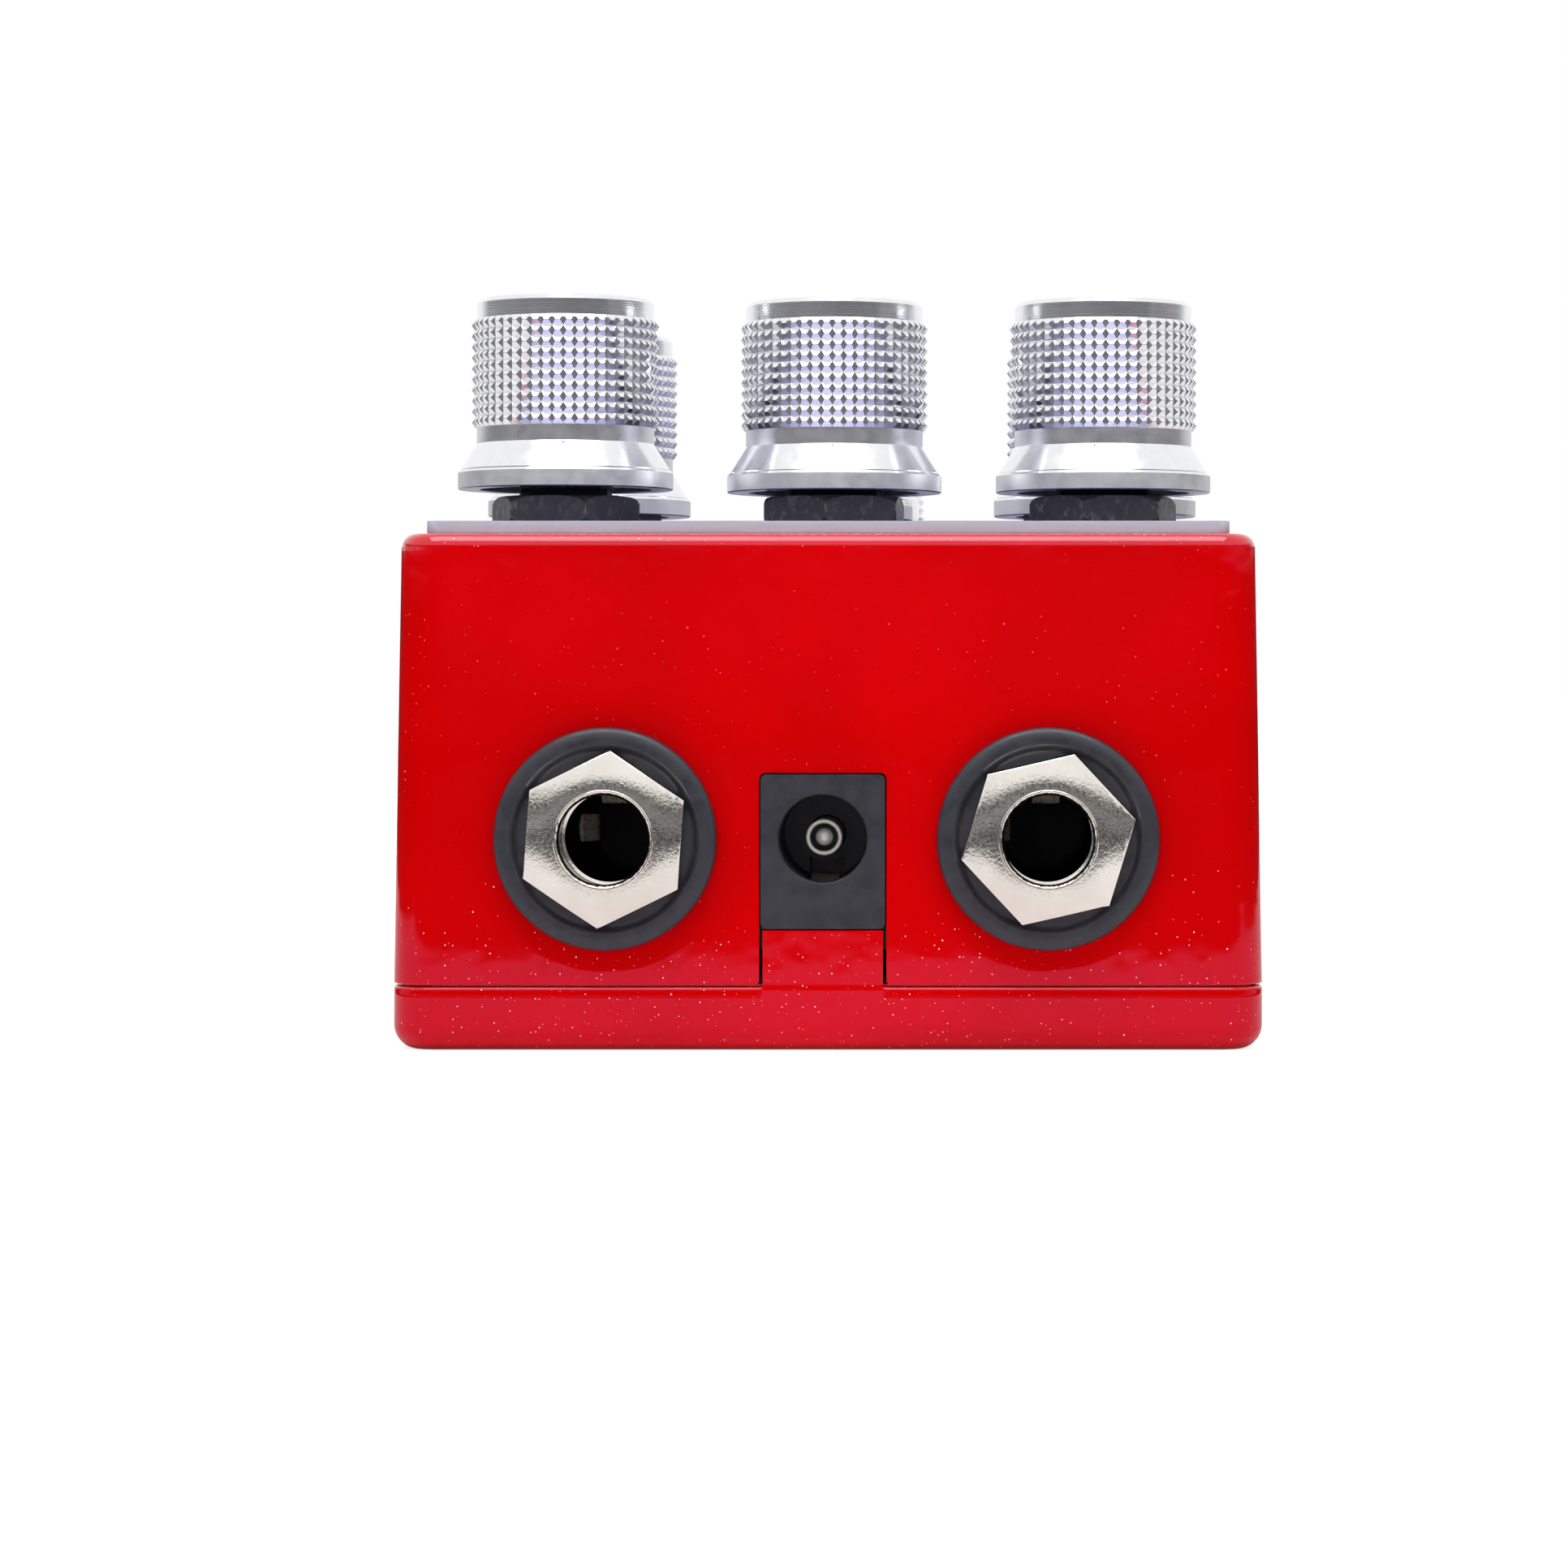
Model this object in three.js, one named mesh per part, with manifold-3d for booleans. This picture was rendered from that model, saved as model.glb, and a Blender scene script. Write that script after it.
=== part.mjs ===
// Compact guitar effects pedal: a drafted die-cast box with a bottom cover, a face plate, five knobs on pots, a
// status lamp, a footswitch, two quarter-inch jacks and a barrel power inlet.
// Millimetres, +Z up. The origin is the centre of the bottom cover's underside. The jack wall faces -Y.
import * as THREE from 'three';
import { mergeVertices } from 'three/addons/utils/BufferGeometryUtils.js';
import Module from 'manifold-3d';

const wasm = await Module();
wasm.setup();

// ---------------------------------------------------------------- driving sizes

// Clearances
const SEAT_GAP = 0.03; // between flat faces that rest on each other
const FIT_GAP = 0.15; // round a fixed piece in its hole or slot
const RUN_GAP = 0.15; // round a piece that turns or slides

// Enclosure
const BODY_WIDTH = 62.6;
const BODY_LENGTH = 112;
const BODY_TOP = 37.1;
const COVER_HEIGHT = 4.65;
const COVER_FLOOR = 2.2;
const SEAM_GAP = 0.12;
const WALL = 2.2;
const TOP_WALL = 2.2;
const DRAFT = 0.5; // how far each wall leans in over the body's height
const CORNER_RADIUS = 3;
const TOP_EDGE_RADIUS = 1.2;
const COVER_EDGE_RADIUS = 1.75;
const BOSS_RADIUS = 3.2;
const BOSS_INSET = 4.6;
const LIP_HEIGHT = 1.5;
const LIP_THICKNESS = 1.2;

// Face plate
const PLATE_THICKNESS = 0.88;
const PLATE_MARGIN = 0.63; // from the start of the body's rounded top edge
const PLATE_CORNER_RADIUS = 0.9;

// Cover screws
const SCREW = { radius: 1.5, headRadius: 2.5, headRim: 0.3, length: 10, sink: 0.15, pilotDepth: 9.5 };
const SCREW_RECESS = { width: 0.7, span: 2.6, depth: 0.9 };

// Pots and knobs. Row distances are from the jack wall to the shaft axes.
const KNOB_INSET = 11; // from each side of the box to the outer columns
const COLUMN_PITCH = BODY_WIDTH / 2 - KNOB_INSET;
const FIRST_ROW = 17.5;
const ROW_PITCH = 20.3;
const SECOND_ROW = FIRST_ROW + ROW_PITCH;
const POT = { width: 9.8, front: 4.6, back: 6.2, height: 6.8, bushingRadius: 3.5, shaftRadius: 3 };
const POT_BORE_DEPTH = 5.8; // of the shaft's bore, below the top of the pot's body
const POT_PIN = { width: 0.8, thickness: 0.4, pitch: 2.5, offset: 5.2, below: 1.2 };
const POT_NUT = { flats: 10, height: 2.3, chamfer: 0.45, threadShown: 0.6 };
const SHAFT_FLAT = 2.5; // from the shaft's axis to its flat
const KNOB = {
  skirtRadius: 8.1, skirtHeight: 1.45, coneHeight: 2, bandRadius: 6.68, lowerBand: 1.2, gripRadius: 7,
  gripHeight: 8.15, upperBand: 1.15, chamfer: 0.35, recessRadius: 6.4, recessDepth: 3.4, boreDepth: 10.8,
};
const SET_SCREW = { radius: 1.5, length: 3.6, height: 8.5, socketRadius: 0.85, socketDepth: 1.5 };
// Each pot's column and row, the knob's height over the plate, and the turns of knob and nut at rest.
const POTS = [
  { column: -1, row: FIRST_ROW, lift: 2.85, turn: 3.8, nutTurn: -10 },
  { column: 0, row: FIRST_ROW, lift: 2.6, turn: 0.5, nutTurn: 25 },
  { column: 1, row: FIRST_ROW, lift: 2.6, turn: -7.2, nutTurn: 14 },
  { column: -1, row: SECOND_ROW, lift: 1.55, turn: 0, nutTurn: 4 },
  { column: 1, row: SECOND_ROW, lift: 1.55, turn: 0, nutTurn: -7 },
];

// Quarter-inch jacks
const JACK_INSET = 15.5; // from each side of the box to the jack's axis
const JACK_SPREAD = BODY_WIDTH / 2 - JACK_INSET;
const JACK_HEIGHT = 15.2;
const JACK_BORE = 3.25;
const JACK_MOUTH = 3.55;
const SLEEVE_RADIUS = 4.75;
const SLEEVE_FLANGE = { radius: 6.2, thickness: 1 };
const WASHER = { radius: 7.95, rim: 1.3, dish: 0.6, dishRadius: 6.6 };
const JACK_NUT = { flats: 11, front: 2.5, lip: 0.6, chamfer: 0.35 };
const JACK_HOUSING = { width: 14.6, below: 6.4, above: 6.4, length: 26.4, bore: 3.6, endWall: 1.2 };
const CONTACT = { thickness: 0.35, width: 2, slack: 0.3, tail: 2.2, setBack: 0.7 };
// The sleeve contact runs under the housing's roof, and its bend touches the plug near the mouth.
const SLEEVE_LEAF = {
  channelTop: 5.2, level: 4.5, root: 1, sag: 0.1, shoulder: 0.7, shoulderBack: 3.5, bend: 2.4, bendBehind: 7.3,
  tip: 3.4, tipBehind: 4.6,
};
// The tip contact runs along the -X side, and its bend touches the plug's tip near the end.
const TIP_LEAF = {
  channel: 5.7, side: 5, root: 1.5, shoulder: 0.7, shoulderBack: 2.2, bend: 2.6, bendAhead: 6.5, tip: 3.6,
  tipAhead: 9.5,
};
const LEAF_CLEARANCE = 1.5; // of each leaf's channel past its tip
const JACKS = [
  { name: 'input', side: -1, nutTurn: 26 },
  { name: 'output', side: 1, nutTurn: 13 },
];

// Barrel power inlet
const INLET_CENTRE = -0.3;
const INLET = {
  width: 8.9, below: 6.45, above: 4.6, length: 14, cornerRadius: 0.3, bore: 3.15, boreDepth: 10, slotGap: 0.1,
};
const INLET_PIN = { radius: 1.25, tipDepth: 3, hollow: 0.8, hollowDepth: 4 };
const TAB_GAP = 0.25; // each side of the cover's tab, in the body's slot

// Status lamp
const BEZEL = { radius: 6.2, height: 3.6, shoulder: 2.7, neckRadius: 4, neckBelow: 3.2 };
const BEZEL_NUT = { flats: 11, height: 2, chamfer: 0.3 };
const LAMP = { radius: 2.5, rimRadius: 2.9, rimHeight: 1, length: 8.6, leadPitch: 2.54, lead: 0.5 };

// Footswitch
const FOOTSWITCH_INSET = 14; // from the far end of the box to the switch's axis
const FOOTSWITCH_ROW = BODY_LENGTH - FOOTSWITCH_INSET;
const SWITCH_BODY = { width: 17.2, height: 11.5, lugWidth: 2.4, lugThickness: 0.8, lugPitch: 4.8, lugLength: 4.2 };
const SWITCH_BUSHING = { radius: 6, bore: 5.1, above: 8 };
const SWITCH_NUT = { flats: 14, height: 2.5, chamfer: 0.5 };
const SWITCH_WASHER = { radius: 8.5, thickness: 0.8 };
const PLUNGER = { proud: 4.5, guide: 6, stemRadius: 2.5, crown: 0.9, travel: 2.5, stemBelow: 1 };

// Circuit boards and ribbon leads
const BOARD_THICKNESS = 1.6;
const BOARD_EDGE_GAP = 2.5; // from a board's side edges to the body's inner wall
const MAIN_BOARD = { front: 9.5, behind: 50 }; // distances from the jack wall to the board's two ends
const JACK_BOARD = { front: 3, behind: 36, notch: 9.5 };
const SWITCH_BOARD = { halfWidth: 10, front: 12.5, behind: 10 };
const RIBBON = { width: 12, thickness: 0.9, endGap: 0.4, inset: 0.5, bow: 2, drop: 4, rise: 3, lean: 0.8 };
const SMALL_PART = { length: 2, width: 1.2, height: 0.7, pitch: 5, inset: 3 };
const CHIP = { length: 5, width: 6, height: 1.6 };

// Facets round full circles
const COARSE = 12;
const MEDIUM = 16;
const FINE = 24;

// ---------------------------------------------------------------- derived places

const SEAM = COVER_HEIGHT + SEAM_GAP;
const CEILING = BODY_TOP - TOP_WALL;
const PLATE_BOTTOM = BODY_TOP + SEAT_GAP;
const PLATE_TOP = PLATE_BOTTOM + PLATE_THICKNESS;
const JACK_WALL = -BODY_LENGTH / 2;
const POT_TOP = CEILING - SEAT_GAP;
const MAIN_BOARD_TOP = POT_TOP - POT.height - SEAT_GAP;
const MAIN_BOARD_BOTTOM = MAIN_BOARD_TOP - BOARD_THICKNESS;
const JACK_BOARD_TOP = JACK_HEIGHT - Math.max(JACK_HOUSING.below, INLET.below) - SEAT_GAP;
const SWITCH_BODY_BOTTOM = CEILING - SEAT_GAP - SWITCH_BODY.height;
const SWITCH_BOARD_TOP = SWITCH_BODY_BOTTOM - SWITCH_BODY.lugLength + BOARD_THICKNESS + 1;
const SHAFT_TOP = PLATE_TOP + Math.min(...POTS.map((pot) => pot.lift)) + KNOB.boreDepth - 0.3;
const SLOT_HALF_WIDTH = INLET.width / 2 + INLET.slotGap;

// How far the outer walls have leaned in at a height.
const leanAt = (z) => DRAFT * Math.max(0, (z - SEAM) / (BODY_TOP - SEAM));
const fromWall = (distance) => JACK_WALL + distance;
const radians = THREE.MathUtils.degToRad;

// ---------------------------------------------------------------- materials

const finish = (color, roughness, metalness) => new THREE.MeshStandardMaterial({ color, roughness, metalness });
const redPaint = finish(0xc80404, 0.15, 0.2);
const brushedPlate = finish(0xb9b7c4, 0.35, 1);
const turnedAluminium = finish(0xd4d6dc, 0.25, 1);
const blackOxide = finish(0x24262a, 0.5, 0.8);
const nickel = finish(0xd9d2c8, 0.22, 1);
const slatePlastic = finish(0x3c3c46, 0.6, 0);
const blackPlastic = finish(0x141416, 0.5, 0);
const zincSteel = finish(0xa8a8a8, 0.4, 1);
const springNickel = finish(0xc9bfa8, 0.3, 1);
const chrome = finish(0xe6e6ea, 0.1, 1);
const boardGreen = finish(0x14532d, 0.5, 0);
const lampRed = finish(0xa01010, 0.2, 0);
const ribbonGrey = finish(0x9a9a9a, 0.6, 0);

// ---------------------------------------------------------------- solids

// A closed three.js geometry as a solid that can be joined and cut.
function solidOf(geometry) {
  const bare = geometry.clone();
  bare.deleteAttribute('normal');
  bare.deleteAttribute('uv');
  const merged = mergeVertices(bare);
  const corners = merged.index.array;
  const triangles = [];
  for (let i = 0; i < corners.length; i += 3) {
    const [a, b, c] = corners.slice(i, i + 3);
    if (a !== b && b !== c && c !== a) triangles.push(a, b, c);
  }
  const mesh = new wasm.Mesh({
    numProp: 3,
    vertProperties: merged.attributes.position.array,
    triVerts: Uint32Array.from(triangles),
  });
  return new wasm.Manifold(mesh);
}

function geometryOf(solid) {
  const { vertProperties, triVerts } = solid.getMesh();
  const geometry = new THREE.BufferGeometry();
  geometry.setAttribute('position', new THREE.BufferAttribute(vertProperties, 3));
  geometry.setIndex(new THREE.BufferAttribute(triVerts, 1));
  return geometry;
}

function cut(base, tools) {
  return geometryOf(tools.reduce((result, tool) => result.subtract(solidOf(tool)), solidOf(base)));
}

function join(base, others) {
  return geometryOf(others.reduce((result, other) => result.add(solidOf(other)), solidOf(base)));
}

function common(a, b) {
  return geometryOf(solidOf(a).intersect(solidOf(b)));
}

// A named piece.
function piece(name, shape, material) {
  const geometry = geometryOf(solidOf(shape));
  geometry.computeVertexNormals();
  const mesh = new THREE.Mesh(geometry, material);
  mesh.name = name;
  return mesh;
}

// A box between two corners.
function block([x0, y0, z0], [x1, y1, z1]) {
  const geometry = new THREE.BoxGeometry(x1 - x0, y1 - y0, z1 - z0);
  return geometry.translate((x0 + x1) / 2, (y0 + y1) / 2, (z0 + z1) / 2);
}

// A shape of revolution about Z from [radius, height] points, going outwards, up and back in.
function turned(profile, segments) {
  const points = profile.map(([radius, height]) => new THREE.Vector2(radius, height));
  return new THREE.LatheGeometry(points, segments).rotateX(Math.PI / 2);
}

function rod(radius, z0, z1, segments) {
  return turned([[0, z0], [radius, z0], [radius, z1], [0, z1]], segments);
}

// A washer or tube.
function ring(inner, outer, z0, z1, segments) {
  return turned([[inner, z0], [outer, z0], [outer, z1], [inner, z1], [inner, z0]], segments);
}

function roundedRectangle(halfX, halfY, radius) {
  const shape = new THREE.Shape();
  shape.absarc(halfX - radius, halfY - radius, radius, 0, Math.PI / 2);
  shape.absarc(radius - halfX, halfY - radius, radius, Math.PI / 2, Math.PI);
  shape.absarc(radius - halfX, radius - halfY, radius, Math.PI, 1.5 * Math.PI);
  shape.absarc(halfX - radius, radius - halfY, radius, 1.5 * Math.PI, 2 * Math.PI);
  return shape;
}

function prism(shape, z0, z1) {
  const CURVE_STEPS = 2;
  const options = { depth: z1 - z0, bevelEnabled: false, curveSegments: CURVE_STEPS };
  return new THREE.ExtrudeGeometry(shape, options).translate(0, 0, z0);
}

// A closed stack of rounded rectangles, one at each level. A level's inset shrinks its corners' radius too, and its
// lean only draws the walls in.
function tower(halfX, halfY, radius, levels) {
  const CORNER_STEPS = 3;
  const outlines = levels.map(({ z, lean, inset }) => {
    const shape = roundedRectangle(halfX - lean - inset, halfY - lean - inset, radius - inset);
    return shape.getPoints(CORNER_STEPS).map((p) => [p.x, p.y, z]);
  });
  const around = outlines[0].length;
  const positions = outlines.flat(2);
  const faces = [];
  for (let level = 0; level + 1 < outlines.length; level += 1) {
    for (let i = 0; i < around; i += 1) {
      const next = (i + 1) % around;
      const [a, b] = [level * around + i, level * around + next];
      faces.push(a, b, b + around, a, b + around, a + around);
    }
  }
  const flat = outlines[0].map(([x, y]) => new THREE.Vector2(x, y));
  const top = (outlines.length - 1) * around;
  for (const [a, b, c] of THREE.ShapeUtils.triangulateShape(flat, [])) {
    faces.push(c, b, a, a + top, b + top, c + top);
  }
  const geometry = new THREE.BufferGeometry();
  geometry.setAttribute('position', new THREE.Float32BufferAttribute(positions, 3));
  geometry.setIndex(faces);
  return geometry;
}

// A hexagonal prism with both rims chamfered by a cone, and a flat face towards -Y before it is turned.
function hexagon(flats, z0, z1, chamfer) {
  const corner = flats / Math.sqrt(3);
  const prismShape = new THREE.Shape();
  for (let i = 0; i < 6; i += 1) {
    const angle = radians(60 * i);
    const [x, y] = [corner * Math.cos(angle), corner * Math.sin(angle)];
    if (i === 0) prismShape.moveTo(x, y);
    else prismShape.lineTo(x, y);
  }
  const rim = flats / 2;
  const wide = corner + 0.1;
  const rise = chamfer * (wide - rim) / (corner - rim);
  const cones = [[0, z0], [rim, z0], [wide, z0 + rise], [wide, z1 - rise], [rim, z1], [0, z1]];
  return common(prism(prismShape, z0, z1), turned(cones, MEDIUM));
}

// A flat spring or ribbon: a centre line of [u, v] points with a thickness, extruded to a width about w = 0.
function strip(points, thickness, width, steps) {
  const line = new THREE.SplineCurve(points.map(([u, v]) => new THREE.Vector2(u, v)));
  const left = [];
  const right = [];
  for (let i = 0; i <= steps; i += 1) {
    const at = line.getPoint(i / steps);
    const along = line.getTangent(i / steps);
    const across = new THREE.Vector2(-along.y, along.x).multiplyScalar(thickness / 2);
    left.push(at.clone().add(across));
    right.unshift(at.clone().sub(across));
  }
  const geometry = new THREE.ExtrudeGeometry(new THREE.Shape([...right, ...left]), {
    depth: width,
    bevelEnabled: false,
  });
  return geometry.translate(0, 0, -width / 2);
}

// ---------------------------------------------------------------- enclosure

const CORNERS = [[-1, -1], [1, -1], [-1, 1], [1, 1]].map(([sx, sy]) => ({
  x: sx * (BODY_WIDTH / 2 - BOSS_INSET),
  y: sy * (BODY_LENGTH / 2 - BOSS_INSET),
}));

// The outer skin of body and tab, from the cover's top to the rounded top edge.
function outerSkin() {
  const EDGE_STEPS = 4;
  const levels = [{ z: COVER_HEIGHT, lean: 0, inset: 0 }];
  for (let i = 0; i <= EDGE_STEPS; i += 1) {
    const angle = (i / EDGE_STEPS) * (Math.PI / 2);
    const z = BODY_TOP - TOP_EDGE_RADIUS * (1 - Math.sin(angle));
    levels.push({ z, lean: leanAt(z), inset: TOP_EDGE_RADIUS * (1 - Math.cos(angle)) });
  }
  return tower(BODY_WIDTH / 2, BODY_LENGTH / 2, CORNER_RADIUS, levels);
}

// Holes through the top for everything that a nut clamps there.
function topHoles(z0, z1) {
  const hole = (radius, x, y) => rod(radius + FIT_GAP, z0, z1, MEDIUM).translate(x, y, 0);
  return [
    ...POTS.map((pot) => hole(POT.bushingRadius, ...potPlace(pot))),
    hole(BEZEL.neckRadius, 0, fromWall(SECOND_ROW)),
    hole(SWITCH_BUSHING.radius, 0, fromWall(FOOTSWITCH_ROW)),
  ];
}

function bodyPiece() {
  const halfX = BODY_WIDTH / 2;
  const halfY = BODY_LENGTH / 2;
  const cavity = tower(halfX, halfY, CORNER_RADIUS, [
    { z: 0, lean: 0, inset: WALL },
    { z: CEILING, lean: leanAt(CEILING), inset: WALL },
  ]);
  const below = block([-halfX - 1, -halfY - 1, 0], [halfX + 1, halfY + 1, SEAM]);
  const bosses = CORNERS.map(({ x, y }) => rod(BOSS_RADIUS, SEAM, CEILING + 0.5, COARSE).translate(x, y, 0));
  const pilots = CORNERS.map(({ x, y }) =>
    rod(SCREW.radius + FIT_GAP, 0, SEAM + SCREW.pilotDepth, COARSE).translate(x, y, 0));
  const jackHoles = JACKS.map(({ side }) =>
    rod(SLEEVE_RADIUS + FIT_GAP, -WALL - 2, 1, FINE).rotateX(Math.PI / 2)
      .translate(side * JACK_SPREAD, JACK_WALL, JACK_HEIGHT));
  const inletSlot = block(
    [INLET_CENTRE - SLOT_HALF_WIDTH, JACK_WALL - 1, 0],
    [INLET_CENTRE + SLOT_HALF_WIDTH, JACK_WALL + WALL + 2, JACK_HEIGHT + INLET.above + INLET.slotGap],
  );
  const shell = join(cut(outerSkin(), [cavity]), bosses);
  const holes = [below, ...pilots, ...topHoles(CEILING - 1, BODY_TOP + 1), ...jackHoles, inletSlot];
  return piece('enclosure_body', cut(shell, holes), redPaint);
}

function coverPiece() {
  const EDGE_STEPS = 4;
  const halfX = BODY_WIDTH / 2;
  const halfY = BODY_LENGTH / 2;
  const levels = [];
  for (let i = 0; i <= EDGE_STEPS; i += 1) {
    const angle = (i / EDGE_STEPS) * (Math.PI / 2);
    levels.push({
      z: COVER_EDGE_RADIUS * (1 - Math.cos(angle)),
      lean: 0,
      inset: COVER_EDGE_RADIUS * (1 - Math.sin(angle)),
    });
  }
  levels.push({ z: COVER_HEIGHT, lean: 0, inset: 0 });
  const tray = tower(halfX, halfY, CORNER_RADIUS, levels);
  const recess = tower(halfX, halfY, CORNER_RADIUS, [
    { z: COVER_FLOOR, lean: 0, inset: WALL },
    { z: COVER_HEIGHT + 1, lean: 0, inset: WALL },
  ]);
  const pads = CORNERS.map(({ x, y }) =>
    rod(BOSS_RADIUS, COVER_FLOOR - 0.5, COVER_HEIGHT, COARSE).translate(x, y, 0));
  const lipOuter = halfX - WALL - FIT_GAP - leanAt(SEAM + LIP_HEIGHT);
  const lipReach = halfY - BOSS_INSET - BOSS_RADIUS - 1;
  const lips = [-1, 1].map((side) => block(
    [Math.min(side * lipOuter, side * (lipOuter - LIP_THICKNESS)), -lipReach, COVER_FLOOR - 0.5],
    [Math.max(side * lipOuter, side * (lipOuter - LIP_THICKNESS)), lipReach, COVER_HEIGHT + LIP_HEIGHT],
  ));
  const tabHalf = SLOT_HALF_WIDTH - TAB_GAP;
  const tab = common(outerSkin(), block(
    [INLET_CENTRE - tabHalf, JACK_WALL - 1, COVER_HEIGHT],
    [INLET_CENTRE + tabHalf, JACK_WALL + WALL, JACK_HEIGHT - INLET.below - INLET.slotGap],
  ));
  const root = block(
    [INLET_CENTRE - tabHalf, JACK_WALL + WALL / 4, COVER_FLOOR],
    [INLET_CENTRE + tabHalf, JACK_WALL + WALL, COVER_HEIGHT + 0.5],
  );
  const holeHead = SCREW.headRadius + FIT_GAP;
  const holeShank = SCREW.radius + FIT_GAP;
  const coneTop = SCREW.sink + SCREW.headRim + FIT_GAP + holeHead - holeShank;
  const screwHole = turned([
    [0, -1], [holeHead, -1], [holeHead, SCREW.sink + SCREW.headRim + FIT_GAP], [holeShank, coneTop],
    [holeShank, COVER_HEIGHT + 1], [0, COVER_HEIGHT + 1],
  ], COARSE);
  const screwHoles = CORNERS.map(({ x, y }) => screwHole.clone().translate(x, y, 0));
  const shape = join(cut(tray, [recess]), [...pads, ...lips, root, tab]);
  return piece('bottom_cover', cut(shape, screwHoles), redPaint);
}

function platePiece() {
  const margin = DRAFT + TOP_EDGE_RADIUS + PLATE_MARGIN;
  const outline = roundedRectangle(BODY_WIDTH / 2 - margin, BODY_LENGTH / 2 - margin, PLATE_CORNER_RADIUS);
  const mesh = piece('face_plate', cut(prism(outline, 0, PLATE_THICKNESS), topHoles(-1, PLATE_THICKNESS + 1)),
    brushedPlate);
  mesh.position.z = PLATE_BOTTOM;
  return mesh;
}

// A countersunk screw, head down, with a cross recess.
function coverScrew(number, { x, y }) {
  const coneTop = SCREW.headRim + SCREW.headRadius - SCREW.radius;
  const body = turned([
    [0, 0], [SCREW.headRadius, 0], [SCREW.headRadius, SCREW.headRim], [SCREW.radius, coneTop],
    [SCREW.radius, SCREW.length], [0, SCREW.length],
  ], COARSE);
  const { width, span, depth } = SCREW_RECESS;
  const cross = [[width, span], [span, width]].map(([w, l]) => block([-w / 2, -l / 2, -1], [w / 2, l / 2, depth]));
  const mesh = piece(`cover_screw_${number}`, cut(body, cross), zincSteel);
  mesh.position.set(x, y, SCREW.sink);
  return mesh;
}

function makeEnclosure() {
  const group = new THREE.Group();
  group.add(bodyPiece(), coverPiece(), platePiece());
  CORNERS.forEach((corner, i) => group.add(coverScrew(i + 1, corner)));
  return group;
}

// ---------------------------------------------------------------- pots and knobs

function potPlace({ column, row }) {
  return [column * COLUMN_PITCH, fromWall(row), 0];
}

// Terminals of a pot, as [x, y] from the shaft's axis.
const POT_TERMINALS = [-1, 0, 1].map((i) => [i * POT_PIN.pitch, POT_PIN.offset]);

function potBody(number) {
  const bushingTop = PLATE_TOP + SEAT_GAP + POT_NUT.height + POT_NUT.threadShown;
  const box = block([-POT.width / 2, -POT.front, POT_TOP - POT.height], [POT.width / 2, POT.back, POT_TOP]);
  const bushing = rod(POT.bushingRadius, POT_TOP - 1, bushingTop, MEDIUM);
  const pins = POT_TERMINALS.map(([x, y]) => block(
    [x - POT_PIN.width / 2, y - POT_PIN.thickness / 2, MAIN_BOARD_BOTTOM - POT_PIN.below],
    [x + POT_PIN.width / 2, y + POT_PIN.thickness / 2, POT_TOP - POT.height + 1],
  ));
  const bore = rod(POT.shaftRadius + RUN_GAP, POT_TOP - POT_BORE_DEPTH, bushingTop + 1, MEDIUM);
  return piece(`pot_${number}_body`, cut(join(box, [bushing, ...pins]), [bore]), zincSteel);
}

function potShaft(number) {
  const bottom = POT_TOP - POT_BORE_DEPTH + RUN_GAP;
  const flatFrom = PLATE_TOP + POT_NUT.height + POT_NUT.threadShown + 0.5;
  const round = rod(POT.shaftRadius, bottom, SHAFT_TOP, MEDIUM);
  const flat = block([-POT.shaftRadius, SHAFT_FLAT, flatFrom], [POT.shaftRadius, POT.shaftRadius + 1, SHAFT_TOP + 1]);
  return piece(`pot_${number}_shaft`, cut(round, [flat]), zincSteel);
}

function potNut(number, turn) {
  const hole = rod(POT.bushingRadius + FIT_GAP, -1, POT_NUT.height + 1, MEDIUM);
  const mesh = piece(`pot_${number}_nut`, cut(hexagon(POT_NUT.flats, 0, POT_NUT.height, POT_NUT.chamfer), [hole]),
    blackOxide);
  mesh.position.z = PLATE_TOP + SEAT_GAP;
  mesh.rotation.z = radians(turn);
  return mesh;
}

// A knob standing on its skirt at z = 0, with its set screw on the +Y side.
function knobShape() {
  const coneTop = KNOB.skirtHeight + KNOB.coneHeight;
  const gripBottom = coneTop + KNOB.lowerBand;
  const gripTop = gripBottom + KNOB.gripHeight;
  const top = gripTop + KNOB.upperBand + KNOB.chamfer;
  const bore = POT.shaftRadius + FIT_GAP;
  const gripStep = KNOB.gripRadius - KNOB.bandRadius;
  const profile = [
    [0, KNOB.boreDepth], [bore, KNOB.boreDepth], [bore, KNOB.recessDepth], [KNOB.recessRadius, KNOB.recessDepth],
    [KNOB.recessRadius, 0], [KNOB.skirtRadius, 0], [KNOB.skirtRadius, KNOB.skirtHeight], [KNOB.bandRadius, coneTop],
    [KNOB.bandRadius, gripBottom], [KNOB.gripRadius, gripBottom + gripStep], [KNOB.gripRadius, gripTop - gripStep],
    [KNOB.bandRadius, gripTop], [KNOB.bandRadius, top - KNOB.chamfer], [KNOB.bandRadius - KNOB.chamfer, top],
    [0, top],
  ];
  const screwHole = rod(SET_SCREW.radius + FIT_GAP, 0, KNOB.skirtRadius, COARSE).rotateX(-Math.PI / 2)
    .translate(0, 0, SET_SCREW.height);
  return cut(turned(profile, FINE), [screwHole]);
}

function setScrew(number, lift) {
  const { radius, length, socketRadius, socketDepth } = SET_SCREW;
  const socket = rod(socketRadius, length - socketDepth, length + 1, 6);
  const mesh = piece(`set_screw_${number}`, cut(rod(radius, 0, length, COARSE), [socket]), blackOxide);
  mesh.rotation.x = -Math.PI / 2;
  mesh.position.set(0, SHAFT_FLAT + FIT_GAP, PLATE_TOP + lift + SET_SCREW.height);
  return mesh;
}

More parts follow.
